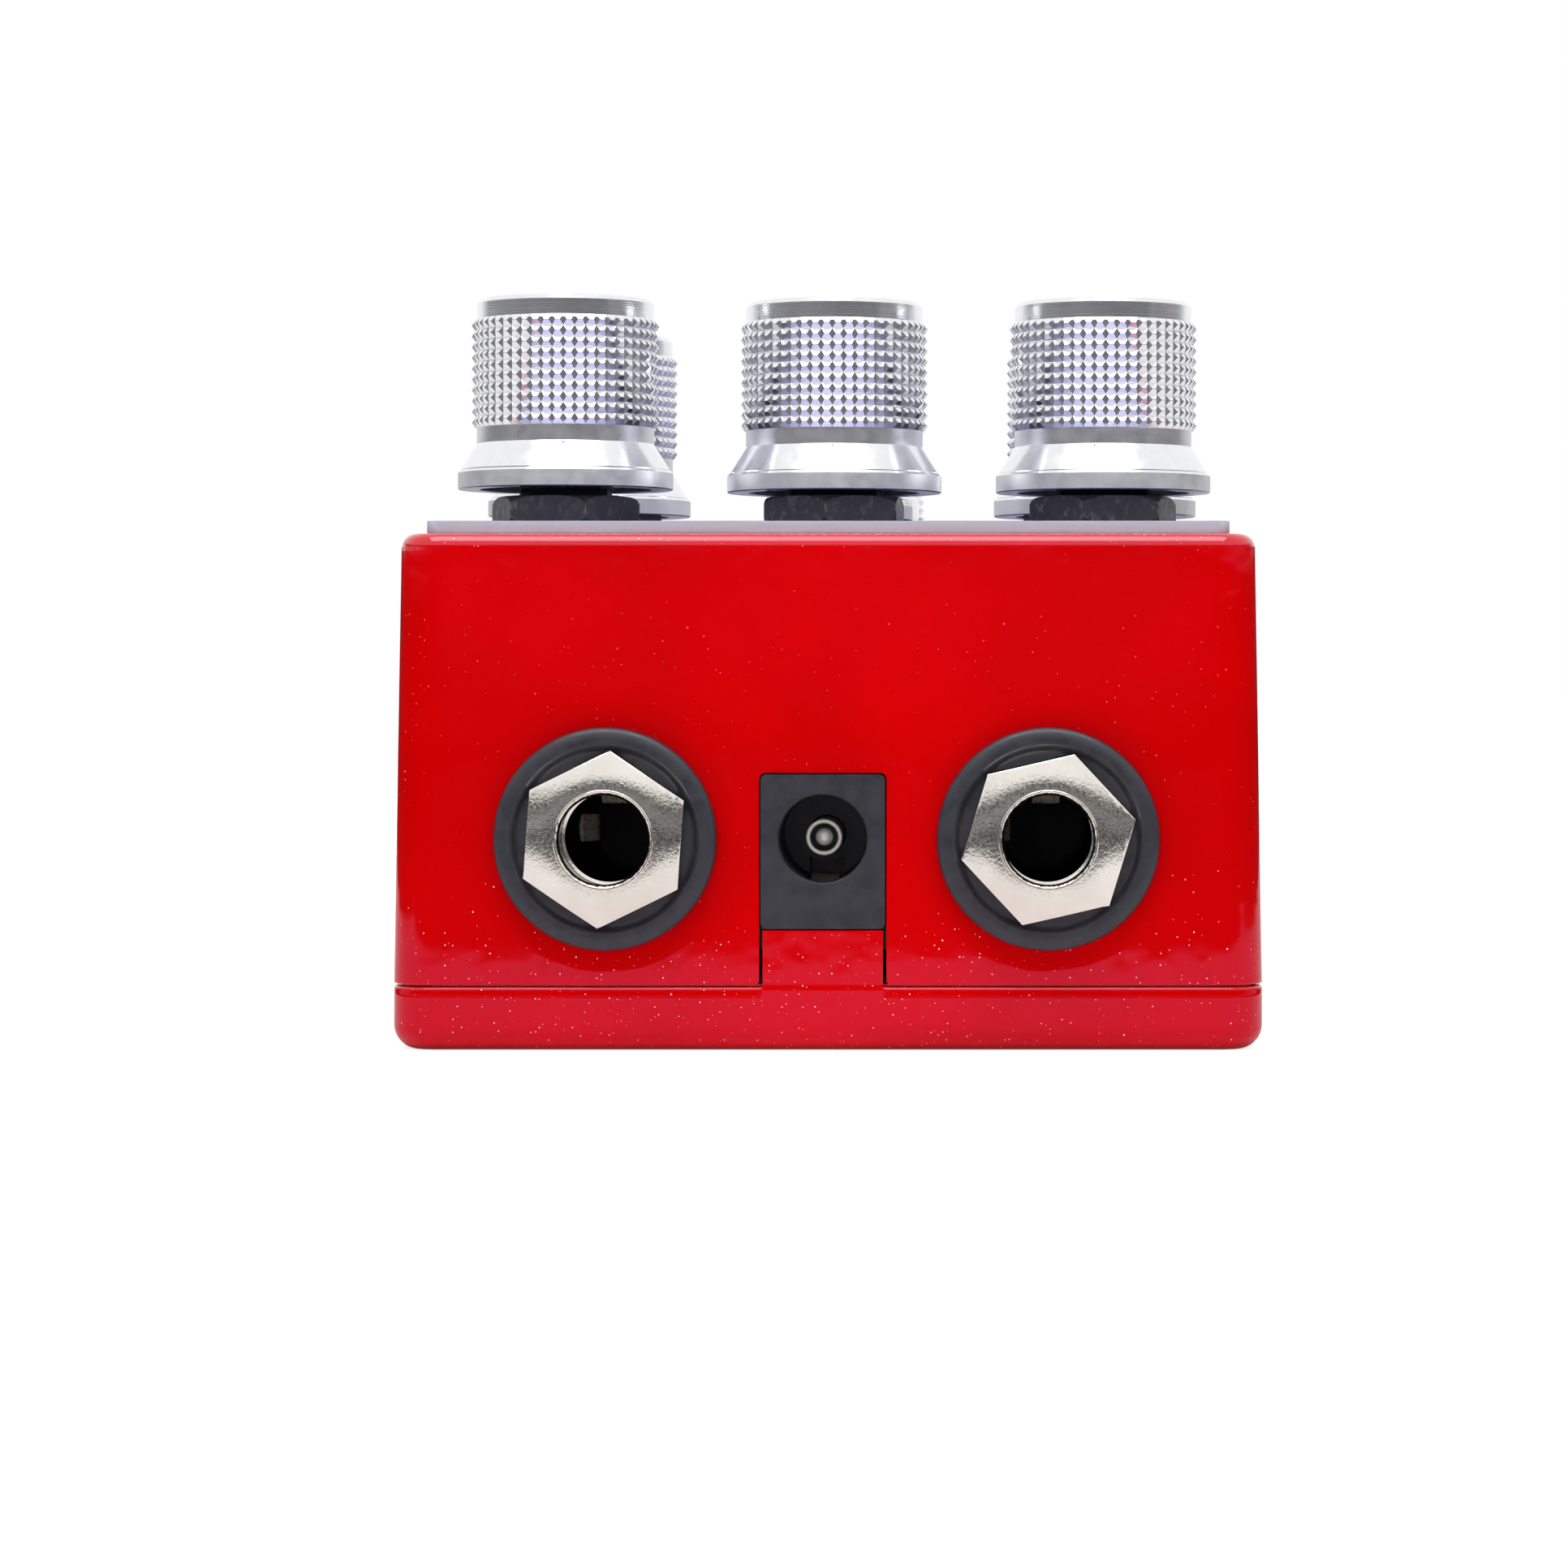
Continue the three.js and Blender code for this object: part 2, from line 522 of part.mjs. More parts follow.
function makePot(pot, index) {
  const number = index + 1;
  const knob = piece(`knob_${number}`, knobShape(), turnedAluminium);
  knob.position.z = PLATE_TOP + pot.lift;
  const turning = new THREE.Group();
  turning.add(potShaft(number), knob, setScrew(number, pot.lift));
  turning.rotation.z = radians(pot.turn);
  const group = new THREE.Group();
  group.add(potBody(number), potNut(number, pot.nutTurn), turning);
  group.position.set(...potPlace(pot));
  return group;
}

// ---------------------------------------------------------------- quarter-inch jacks
// In a jack's own frame +Z points out of the jack wall, +Y points up and z = 0 lies on the wall's outer face.

const FLANGE_FRONT = -(WALL + leanAt(JACK_HEIGHT + SLEEVE_FLANGE.radius) + SEAT_GAP);
const HOUSING_FRONT = FLANGE_FRONT - SLEEVE_FLANGE.thickness - SEAT_GAP;
const HOUSING_BACK = HOUSING_FRONT - JACK_HOUSING.length;
const TAIL_Z = HOUSING_BACK - CONTACT.setBack;
const TAIL_BOTTOM = JACK_BOARD_TOP - BOARD_THICKNESS - CONTACT.tail / 2 - JACK_HEIGHT;

const SLEEVE_BEND_Z = FLANGE_FRONT - SLEEVE_LEAF.bendBehind;
const SLEEVE_TIP_Z = FLANGE_FRONT - SLEEVE_LEAF.tipBehind;
const TIP_BEND_Z = HOUSING_BACK + TIP_LEAF.bendAhead;
const TIP_TIP_Z = HOUSING_BACK + TIP_LEAF.tipAhead;

// Stands a strip drawn in [z, y] points in that plane of a jack's frame.
function alongJack(geometry) {
  return geometry.rotateY(-Math.PI / 2);
}

function jackHousing(name) {
  const { width, below, above, bore, endWall } = JACK_HOUSING;
  const box = block([-width / 2, -below, HOUSING_BACK], [width / 2, above, HOUSING_FRONT]);
  const hole = rod(bore, HOUSING_BACK + endWall, HOUSING_FRONT + 1, FINE);
  const half = CONTACT.width / 2 + CONTACT.slack;
  const roof = block([-half, 0, HOUSING_BACK - 1], [half, SLEEVE_LEAF.channelTop, SLEEVE_TIP_Z + LEAF_CLEARANCE]);
  const side = block([-TIP_LEAF.channel, -half, HOUSING_BACK - 1], [0, half, TIP_TIP_Z + LEAF_CLEARANCE]);
  return piece(`${name}_jack_housing`, cut(box, [hole, roof, side]), blackPlastic);
}

function sleeveContact(name) {
  const { level, root, sag, shoulder, shoulderBack, bend, tip } = SLEEVE_LEAF;
  const line = [
    [TAIL_Z, level], [HOUSING_BACK + root, level], [(HOUSING_BACK + SLEEVE_BEND_Z) / 2, level - sag],
    [SLEEVE_BEND_Z - shoulderBack, level - shoulder], [SLEEVE_BEND_Z, bend], [SLEEVE_TIP_Z, tip],
  ];
  const leaf = alongJack(strip(line, CONTACT.thickness, CONTACT.width, 20));
  const halfWidth = CONTACT.width / 2;
  const tail = block([-halfWidth, TAIL_BOTTOM, TAIL_Z - CONTACT.thickness],
    [halfWidth, level + CONTACT.thickness / 2, TAIL_Z]);
  return piece(`${name}_jack_sleeve_contact`, join(leaf, [tail.translate(0, 0, CONTACT.thickness / 2)]), springNickel);
}

function tipContact(name) {
  const { side, root, shoulder, shoulderBack, bend, tip } = TIP_LEAF;
  const line = [
    [TAIL_Z, side], [HOUSING_BACK + root, side], [TIP_BEND_Z - shoulderBack, side - shoulder],
    [TIP_BEND_Z, bend], [TIP_TIP_Z, tip],
  ];
  const leaf = strip(line, CONTACT.thickness, CONTACT.width, 16).rotateX(Math.PI / 2).rotateY(-Math.PI / 2);
  const halfWidth = CONTACT.width / 2;
  const tail = block([-side - CONTACT.thickness / 2, TAIL_BOTTOM, TAIL_Z - CONTACT.thickness],
    [-side + CONTACT.width, halfWidth, TAIL_Z]);
  return piece(`${name}_jack_tip_contact`, join(leaf, [tail.translate(0, 0, CONTACT.thickness / 2)]), springNickel);
}

function jackSleeve(name) {
  const front = JACK_NUT.front - JACK_NUT.lip - FIT_GAP;
  const back = FLANGE_FRONT - SLEEVE_FLANGE.thickness;
  const profile = [
    [JACK_BORE, back], [SLEEVE_FLANGE.radius, back], [SLEEVE_FLANGE.radius, FLANGE_FRONT],
    [SLEEVE_RADIUS, FLANGE_FRONT], [SLEEVE_RADIUS, front], [JACK_BORE, front], [JACK_BORE, back],
  ];
  return piece(`${name}_jack_sleeve`, turned(profile, FINE), nickel);
}

function jackWasher(name) {
  const { radius, rim, dish, dishRadius } = WASHER;
  const inner = SLEEVE_RADIUS + FIT_GAP;
  const profile = [
    [inner, 0], [radius, 0], [radius, rim - 0.2], [radius - 0.2, rim], [dishRadius + 0.1, rim], [dishRadius, dish],
    [inner, dish], [inner, 0],
  ];
  const mesh = piece(`${name}_jack_washer`, turned(profile, FINE), slatePlastic);
  mesh.position.z = SEAT_GAP;
  return mesh;
}

// The nut closes over the sleeve's end, with a tapered mouth in its front face.
function jackNut(name, turn) {
  const back = SEAT_GAP + WASHER.dish + SEAT_GAP;
  const { flats, front, lip, chamfer } = JACK_NUT;
  const thread = rod(SLEEVE_RADIUS + FIT_GAP, back - 1, front - lip, FINE);
  const mouth = turned([
    [0, back], [JACK_BORE, back], [JACK_BORE, front - lip], [JACK_MOUTH, front], [JACK_MOUTH, front + 1],
    [0, front + 1],
  ], FINE);
  const mesh = piece(`${name}_jack_nut`, cut(hexagon(flats, back, front, chamfer), [thread, mouth]), nickel);
  mesh.rotation.z = radians(turn);
  return mesh;
}

function makeJack({ name, side, nutTurn }) {
  const group = new THREE.Group();
  group.add(
    jackHousing(name), jackSleeve(name), sleeveContact(name), tipContact(name), jackWasher(name),
    jackNut(name, nutTurn),
  );
  group.position.set(side * JACK_SPREAD, JACK_WALL, JACK_HEIGHT);
  group.rotation.x = Math.PI / 2;
  return group;
}

// ---------------------------------------------------------------- power inlet
// Its own frame is like a jack's.

const INLET_TAIL_Z = -INLET.length - CONTACT.setBack;
const INLET_LEAF = { slotFrom: -INLET.boreDepth - 1.2, slotTo: -INLET.boreDepth - 2.4, level: 4.2, bend: 2.9, bendAt: -6.5 };

function inletHousing() {
  const centreY = (INLET.above - INLET.below) / 2;
  const outline = roundedRectangle(INLET.width / 2, (INLET.above + INLET.below) / 2, INLET.cornerRadius);
  const box = prism(outline, -INLET.length, 0).translate(0, centreY, 0);
  const bore = rod(INLET.bore, -INLET.boreDepth, 1, FINE);
  const pinHole = rod(INLET_PIN.radius + FIT_GAP, -INLET.length - 1, 1, COARSE);
  const half = CONTACT.width / 2 + CONTACT.slack;
  const channel = block([-half, -INLET_LEAF.level - 0.6, INLET_LEAF.slotTo], [half, 0, INLET_LEAF.bendAt + 2.5]);
  const slot = block([-half, -INLET.below - 1, INLET_LEAF.slotTo], [half, -INLET.bore, INLET_LEAF.slotFrom + 0.3]);
  const core = rod(INLET_PIN.radius + 0.8, -INLET.length, -INLET.boreDepth, COARSE);
  const shape = cut(join(cut(box, [bore, channel, slot]), [core]), [pinHole]);
  return piece('dc_jack_housing', shape, slatePlastic);
}

function inletPin() {
  const { radius, tipDepth, hollow, hollowDepth } = INLET_PIN;
  const post = turned([
    [0, INLET_TAIL_Z], [radius, INLET_TAIL_Z], [radius, -tipDepth - 0.2], [radius - 0.2, -tipDepth],
    [hollow, -tipDepth], [hollow, -tipDepth - hollowDepth], [0, -tipDepth - hollowDepth],
  ], COARSE);
  const tail = block([-1, TAIL_BOTTOM, INLET_TAIL_Z - 0.4], [1, radius, INLET_TAIL_Z + 0.1]);
  return piece('dc_jack_pin', join(post, [tail]), nickel);
}

function inletContact() {
  const { slotFrom, slotTo, level, bend, bendAt } = INLET_LEAF;
  const foot = (slotFrom + slotTo) / 2;
  const line = [
    [foot, -level], [(foot + bendAt) / 2, -level + 0.35], [bendAt, -bend], [bendAt + 1.9, -bend - 0.7],
  ];
  const leaf = alongJack(strip(line, CONTACT.thickness, CONTACT.width, 12));
  const halfWidth = CONTACT.width / 2;
  const tail = block([-halfWidth, TAIL_BOTTOM, foot - CONTACT.thickness / 2],
    [halfWidth, CONTACT.thickness / 2 - level, foot + CONTACT.thickness / 2]);
  return piece('dc_jack_contact', join(leaf, [tail]), springNickel);
}

function makeInlet() {
  const group = new THREE.Group();
  group.add(inletHousing(), inletPin(), inletContact());
  group.position.set(INLET_CENTRE, JACK_WALL, JACK_HEIGHT);
  group.rotation.x = Math.PI / 2;
  return group;
}

// ---------------------------------------------------------------- status lamp

const BEZEL_TOP = PLATE_TOP + SEAT_GAP + BEZEL.height;
const LAMP_BASE = BEZEL_TOP - 0.3 - LAMP.length;

function lampBezel() {
  const bottom = CEILING - BEZEL.neckBelow;
  const rest = PLATE_TOP + SEAT_GAP;
  const wide = LAMP.rimRadius + FIT_GAP;
  const narrow = LAMP.radius + FIT_GAP;
  const step = LAMP_BASE + LAMP.rimHeight + FIT_GAP;
  const profile = [
    [wide, bottom], [BEZEL.neckRadius, bottom], [BEZEL.neckRadius, rest], [BEZEL.radius, rest],
    [BEZEL.radius, rest + BEZEL.shoulder], [BEZEL.radius - 0.7, BEZEL_TOP], [narrow + 0.4, BEZEL_TOP],
    [narrow, BEZEL_TOP - 0.4], [narrow, step], [wide, step], [wide, bottom],
  ];
  return piece('led_bezel', turned(profile, FINE), chrome);
}

function bezelNut() {
  const top = CEILING - SEAT_GAP;
  const bottom = top - BEZEL_NUT.height;
  const hole = rod(BEZEL.neckRadius + FIT_GAP, bottom - 1, top + 1, FINE);
  return piece('led_bezel_nut', cut(hexagon(BEZEL_NUT.flats, bottom, top, BEZEL_NUT.chamfer), [hole]), zincSteel);
}

// Leads of the lamp, as [x, y] from its axis.
const LAMP_LEADS = [-1, 1].map((side) => [side * LAMP.leadPitch / 2, 0]);

function lampPiece() {
  const DOME_STEPS = 4;
  const shoulder = LAMP.length - LAMP.radius;
  const profile = [[0, 0], [LAMP.rimRadius, 0], [LAMP.rimRadius, LAMP.rimHeight], [LAMP.radius, LAMP.rimHeight]];
  for (let i = 0; i < DOME_STEPS; i += 1) {
    const angle = (i / DOME_STEPS) * (Math.PI / 2);
    profile.push([LAMP.radius * Math.cos(angle), shoulder + LAMP.radius * Math.sin(angle)]);
  }
  profile.push([0, LAMP.length]);
  const leads = LAMP_LEADS.map(([x, y]) => block(
    [x - LAMP.lead / 2, y - LAMP.lead / 2, MAIN_BOARD_BOTTOM - 1 - LAMP_BASE],
    [x + LAMP.lead / 2, y + LAMP.lead / 2, 0.5],
  ));
  const mesh = piece('led_lamp', join(turned(profile, MEDIUM), leads), lampRed);
  mesh.position.z = LAMP_BASE;
  return mesh;
}

function makeLamp() {
  const group = new THREE.Group();
  group.add(lampBezel(), bezelNut(), lampPiece());
  group.position.y = fromWall(SECOND_ROW);
  return group;
}

// ---------------------------------------------------------------- footswitch

const BUSHING_TOP = PLATE_TOP + SWITCH_BUSHING.above;
const STEM_BOTTOM = CEILING - PLUNGER.stemBelow;
const WELL_BOTTOM = STEM_BOTTOM - PLUNGER.travel - 0.5;

// Solder lugs of the footswitch, as [x, y] from its axis.
const SWITCH_LUGS = [-1, 0, 1].flatMap((i) =>
  [-1, 0, 1].map((j) => [i * SWITCH_BODY.lugPitch, j * SWITCH_BODY.lugPitch]));

function switchBody() {
  const half = SWITCH_BODY.width / 2;
  const { lugWidth, lugThickness, lugLength, height } = SWITCH_BODY;
  const box = prism(roundedRectangle(half, half, 1), SWITCH_BODY_BOTTOM, SWITCH_BODY_BOTTOM + height);
  const lugs = SWITCH_LUGS.map(([x, y]) => block(
    [x - lugWidth / 2, y - lugThickness / 2, SWITCH_BODY_BOTTOM - lugLength],
    [x + lugWidth / 2, y + lugThickness / 2, SWITCH_BODY_BOTTOM + 0.5],
  ));
  // The well under the bushing, where the stem goes down to the toggle.
  const well = rod(SWITCH_BUSHING.bore, WELL_BOTTOM, CEILING + 1, FINE);
  return piece('footswitch_body', cut(join(box, lugs), [well]), blackPlastic);
}

function switchBushing() {
  const { radius, bore } = SWITCH_BUSHING;
  const profile = [
    [bore, CEILING], [radius, CEILING], [radius, BUSHING_TOP - 0.4], [radius - 0.4, BUSHING_TOP],
    [bore, BUSHING_TOP], [bore, CEILING],
  ];
  return piece('footswitch_bushing', turned(profile, FINE), chrome);
}

function switchWasher() {
  const { radius, thickness } = SWITCH_WASHER;
  const z0 = PLATE_TOP + SEAT_GAP;
  return piece('footswitch_washer', ring(SWITCH_BUSHING.radius + FIT_GAP, radius, z0, z0 + thickness, FINE), chrome);
}

function switchNut() {
  const z0 = PLATE_TOP + SEAT_GAP + SWITCH_WASHER.thickness + SEAT_GAP;
  const z1 = z0 + SWITCH_NUT.height;
  const hole = rod(SWITCH_BUSHING.radius + FIT_GAP, z0 - 1, z1 + 1, FINE);
  return piece('footswitch_nut', cut(hexagon(SWITCH_NUT.flats, z0, z1, SWITCH_NUT.chamfer), [hole]), chrome);
}

function switchPlunger() {
  const radius = SWITCH_BUSHING.bore - RUN_GAP;
  const { proud, guide, stemRadius, crown } = PLUNGER;
  const top = BUSHING_TOP + proud;
  const profile = [
    [0, STEM_BOTTOM], [stemRadius, STEM_BOTTOM], [stemRadius, BUSHING_TOP - guide], [radius, BUSHING_TOP - guide],
    [radius, top - crown], [radius - 0.35, top - crown / 3], [radius - 1.3, top - crown / 12], [0, top],
  ];
  return piece('footswitch_plunger', turned(profile, FINE), chrome);
}

function makeFootswitch() {
  const group = new THREE.Group();
  group.add(switchBody(), switchBushing(), switchWasher(), switchNut(), switchPlunger());
  group.position.y = fromWall(FOOTSWITCH_ROW);
  return group;
}

// ---------------------------------------------------------------- circuit boards

const BOARD_HALF_WIDTH = BODY_WIDTH / 2 - WALL - DRAFT - BOARD_EDGE_GAP;

// A slot through a board for a pin of the given half sizes.
function pinSlot(x, y, halfX, halfY, z0, z1) {
  return block([x - halfX - FIT_GAP, y - halfY - FIT_GAP, z0 - 1], [x + halfX + FIT_GAP, y + halfY + FIT_GAP, z1 + 1]);
}

// A row of small surface-mounted parts along X, joined to a board's underside.
function smallParts(y, z, count) {
  const { length, width, height, pitch } = SMALL_PART;
  return Array.from({ length: count }, (_, i) => {
    const x = (i - (count - 1) / 2) * pitch;
    return block([x - length / 2, y - width / 2, z - height], [x + length / 2, y + width / 2, z + 0.1]);
  });
}

function mainBoard() {
  const [z0, z1] = [MAIN_BOARD_BOTTOM, MAIN_BOARD_TOP];
  const [y0, y1] = [fromWall(MAIN_BOARD.front), fromWall(MAIN_BOARD.behind)];
  const panel = block([-BOARD_HALF_WIDTH, y0, z0], [BOARD_HALF_WIDTH, y1, z1]);
  const potSlots = POTS.flatMap((pot) => POT_TERMINALS.map(([x, y]) => {
    const [potX, potY] = potPlace(pot);
    return pinSlot(potX + x, potY + y, POT_PIN.width / 2, POT_PIN.thickness / 2, z0, z1);
  }));
  const lampSlots = LAMP_LEADS.map(([x, y]) =>
    pinSlot(x, fromWall(SECOND_ROW) + y, LAMP.lead / 2, LAMP.lead / 2, z0, z1));
  const chips = [-1, 1].map((side) => {
    const [x, y] = [side * COLUMN_PITCH / 2, (y0 + y1) / 2];
    return block([x - CHIP.length / 2, y - CHIP.width / 2, z0 - CHIP.height],
      [x + CHIP.length / 2, y + CHIP.width / 2, z0 + 0.1]);
  });
  const rows = [smallParts(y0 + SMALL_PART.inset, z0, 7), smallParts((y0 + y1) / 2 + CHIP.width, z0, 7)];
  return piece('main_board', cut(join(panel, [...chips, ...rows.flat()]), [...potSlots, ...lampSlots]), boardGreen);
}

function jackBoard() {
  const [z0, z1] = [JACK_BOARD_TOP - BOARD_THICKNESS, JACK_BOARD_TOP];
  const [y0, y1] = [fromWall(JACK_BOARD.front), fromWall(JACK_BOARD.behind)];
  const neck = BODY_WIDTH / 2 - BOSS_INSET - BOSS_RADIUS - 1;
  const panel = block([-BOARD_HALF_WIDTH, y0 + JACK_BOARD.notch, z0], [BOARD_HALF_WIDTH, y1, z1]);
  const tongue = block([-neck, y0, z0], [neck, y1, z1]);
  const tailY = JACK_WALL - TAIL_Z;
  const half = CONTACT.thickness / 2;
  const jackSlots = JACKS.flatMap(({ side }) => [
    pinSlot(side * JACK_SPREAD, tailY, CONTACT.width / 2, half, z0, z1),
    pinSlot(side * JACK_SPREAD - TIP_LEAF.side + (CONTACT.width - half) / 2, tailY,
      (CONTACT.width + half) / 2, half, z0, z1),
  ]);
  const inletSlots = [
    pinSlot(INLET_CENTRE, JACK_WALL - INLET_TAIL_Z + 0.15, 1, 0.25, z0, z1),
    pinSlot(INLET_CENTRE, JACK_WALL - (INLET_LEAF.slotFrom + INLET_LEAF.slotTo) / 2, CONTACT.width / 2, half, z0, z1),
  ];
  const parts = smallParts(y1 - SMALL_PART.inset - RIBBON.thickness - RIBBON.inset, z0, 5);
  return piece('jack_board', cut(join(panel, [tongue, ...parts]), [...jackSlots, ...inletSlots]), boardGreen);
}

function switchBoard() {
  const [z0, z1] = [SWITCH_BOARD_TOP - BOARD_THICKNESS, SWITCH_BOARD_TOP];
  const centre = fromWall(FOOTSWITCH_ROW);
  const panel = block([-SWITCH_BOARD.halfWidth, centre - SWITCH_BOARD.front, z0],
    [SWITCH_BOARD.halfWidth, centre + SWITCH_BOARD.behind, z1]);
  const slots = SWITCH_LUGS.map(([x, y]) =>
    pinSlot(x, centre + y, SWITCH_BODY.lugWidth / 2, SWITCH_BODY.lugThickness / 2, z0, z1));
  return piece('switch_board', cut(panel, slots), boardGreen);
}

// Ribbon leads lie in the YZ plane, with their width along X.
function ribbon(name, line) {
  const geometry = strip(line, RIBBON.thickness, RIBBON.width, 16).rotateX(Math.PI / 2).rotateZ(Math.PI / 2);
  return piece(name, geometry, ribbonGrey);
}

function makeBoards() {
  const group = new THREE.Group();
  const jackEnd = fromWall(JACK_BOARD.behind) - RIBBON.thickness - RIBBON.inset;
  const switchEnd = fromWall(FOOTSWITCH_ROW) - SWITCH_BOARD.front;
  const mainEnd = fromWall(MAIN_BOARD.behind);
  group.add(
    mainBoard(), jackBoard(), switchBoard(),
    ribbon('jack_ribbon', [
      [jackEnd, JACK_BOARD_TOP + RIBBON.endGap],
      [jackEnd + RIBBON.bow, (JACK_BOARD_TOP + MAIN_BOARD_BOTTOM) / 2],
      [jackEnd, MAIN_BOARD_BOTTOM - RIBBON.endGap],
    ]),
    ribbon('switch_ribbon', [
      [mainEnd - RIBBON.bow, MAIN_BOARD_BOTTOM - RIBBON.endGap],
      [mainEnd - RIBBON.bow / 2, MAIN_BOARD_BOTTOM - RIBBON.drop],
      [(mainEnd + switchEnd) / 2, MAIN_BOARD_BOTTOM - RIBBON.drop], [switchEnd, SWITCH_BOARD_TOP + RIBBON.rise],
      [switchEnd + RIBBON.lean, SWITCH_BOARD_TOP + RIBBON.endGap],
    ]),
  );
  return group;
}

// ---------------------------------------------------------------- assembly

const pedal = new THREE.Group();
pedal.add(makeEnclosure(), ...POTS.map(makePot), ...JACKS.map(makeJack), makeInlet(), makeLamp(), makeFootswitch());
pedal.add(makeBoards());

export default pedal;
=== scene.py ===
# Looks of a compact guitar effects pedal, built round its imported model. Its pieces' sizes are in mm. The
# camera, room, lamps, floor and materials are in metres. +Z is up, and the jack wall faces -Y.
import math

import bpy
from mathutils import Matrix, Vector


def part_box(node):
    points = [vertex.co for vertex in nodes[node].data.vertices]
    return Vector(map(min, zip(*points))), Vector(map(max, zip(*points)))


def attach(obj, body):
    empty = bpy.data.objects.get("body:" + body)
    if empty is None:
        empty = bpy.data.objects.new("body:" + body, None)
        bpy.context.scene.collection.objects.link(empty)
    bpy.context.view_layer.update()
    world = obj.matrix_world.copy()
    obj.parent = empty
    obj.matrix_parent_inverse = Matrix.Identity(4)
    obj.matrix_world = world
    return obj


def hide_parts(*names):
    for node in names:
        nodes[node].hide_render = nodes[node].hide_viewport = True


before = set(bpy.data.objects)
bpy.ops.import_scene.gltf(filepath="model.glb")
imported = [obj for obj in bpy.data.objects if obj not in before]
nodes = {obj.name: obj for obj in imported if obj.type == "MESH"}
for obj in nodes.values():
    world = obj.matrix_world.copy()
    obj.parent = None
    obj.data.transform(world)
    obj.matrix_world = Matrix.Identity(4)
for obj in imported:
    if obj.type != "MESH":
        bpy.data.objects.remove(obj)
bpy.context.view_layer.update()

# ---------------------------------------------------------------- camera
# A long lens, square to the jack wall and level with the upper part of the box. It is shifted down and
# sideways, not turned, so that upright edges stay upright.
lens = bpy.data.cameras.new("camera")
lens.sensor_width = 36
lens.lens = 96.75
lens.shift_x = -0.1144
lens.shift_y = -0.0704
lens.clip_start = 0.01
camera = bpy.data.objects.new("camera", lens)
bpy.context.scene.collection.objects.link(camera)
camera.location = (0.00975, -0.357, 0.0270)
camera.rotation_euler = (math.radians(90), 0, 0)
bpy.context.scene.camera = camera
bpy.context.scene.view_settings.view_transform = "Standard"

# ---------------------------------------------------------------- room
# A white room whose near end is dim. Shiny pieces mirror that dim end as darker bands, and matt ones are lit
# evenly from all sides.
WHITE = (1, 1, 1, 1)
room = bpy.data.worlds.new("room")
room.use_nodes = True
bpy.context.scene.world = room
tree = room.node_tree
tree.nodes.clear()


def add_node(tree, kind, settings=None, **inputs):
    """Adds a shader node, sets its settings, and sets or links its inputs, named with _ for a space."""
    node = tree.nodes.new("ShaderNode" + kind)
    for name, value in (settings or {}).items():
        setattr(node, name, value)
    for name, value in inputs.items():
        key = int(name[1:]) if name[0] == "_" else name.replace("_", " ")
        set_input(tree, node.inputs[key], value)
    return node


def set_input(tree, socket, value):
    """Links an output to an input, or sets the input to a constant."""
    if isinstance(value, bpy.types.NodeSocket):
        tree.links.new(value, socket)
    else:
        socket.default_value = value


def calculate(tree, operation, first, second=0.0):
    """The output of one Math node."""
    return add_node(tree, "Math", {"operation": operation}, _0=first, _1=second).outputs[0]


def times(tree, first, second):
    """The product of two values."""
    return calculate(tree, "MULTIPLY", first, second)


def ramp(tree, value, low, high, bottom=0.0, top=1.0):
    """A value that goes smoothly from bottom to top as the input goes from low to high."""
    node = add_node(tree, "MapRange", {"interpolation_type": "SMOOTHSTEP"}, Value=value,
                    From_Min=low, From_Max=high, To_Min=bottom, To_Max=top)
    return node.outputs[0]


def mixed(tree, share, first, second):
    """The colour between two colours."""
    node = add_node(tree, "Mix", {"data_type": "RGBA"})
    for number, value in ((0, share), (6, first), (7, second)):
        set_input(tree, node.inputs[number], value)
    return node.outputs[2]


direction = add_node(tree, "TexCoord").outputs["Generated"]
x, y, z = add_node(tree, "SeparateXYZ", Vector=direction).outputs
above = ramp(tree, z, 0.19, 0.29)
behind = times(tree, ramp(tree, y, 0.35, 0.75), ramp(tree, z, 0.03, 0.042))
lit = calculate(tree, "MAXIMUM", above, behind)
dim = mixed(tree, ramp(tree, x, -0.8, 0.5), (0.50, 0.50, 0.53, 1), (0.355, 0.36, 0.385, 1))
dim = mixed(tree, ramp(tree, x, 0.82, 0.93), dim, (0.58, 0.59, 0.62, 1))
drift = add_node(tree, "TexNoise", {"noise_dimensions": "1D"}, W=x, Scale=4.5, Detail=2.0).outputs["Fac"]
dim = mixed(tree, ramp(tree, drift, 0.45, 0.65, 0.0, 0.4), dim, (0.40, 0.32, 0.28, 1))
dim = mixed(tree, ramp(tree, z, 0.05, 0.075, 0.3, 0.0), dim, WHITE)
dim = mixed(tree, ramp(tree, z, 0.085, 0.115, 0.0, 0.95), dim, (0.02, 0.02, 0.022, 1))
dim = mixed(tree, ramp(tree, z, 0.044, 0.036), dim, (0.03, 0.03, 0.035, 1))
mirrored = mixed(tree, lit, dim, WHITE)
ray = add_node(tree, "LightPath").outputs
shiny = calculate(tree, "MAXIMUM", ray["Is Glossy Ray"], ray["Is Transmission Ray"])
soft_light = add_node(tree, "Background", Color=WHITE, Strength=0.45)
shine = add_node(tree, "Background", Color=mirrored, Strength=1.0)
white = add_node(tree, "Background", Color=WHITE, Strength=1.0)
lighting = add_node(tree, "MixShader", _0=shiny, _1=soft_light.outputs[0], _2=shine.outputs[0])
seen = add_node(tree, "MixShader", _0=ray["Is Camera Ray"], _1=lighting.outputs[0], _2=white.outputs[0])
add_node(tree, "OutputWorld", Surface=seen.outputs[0])

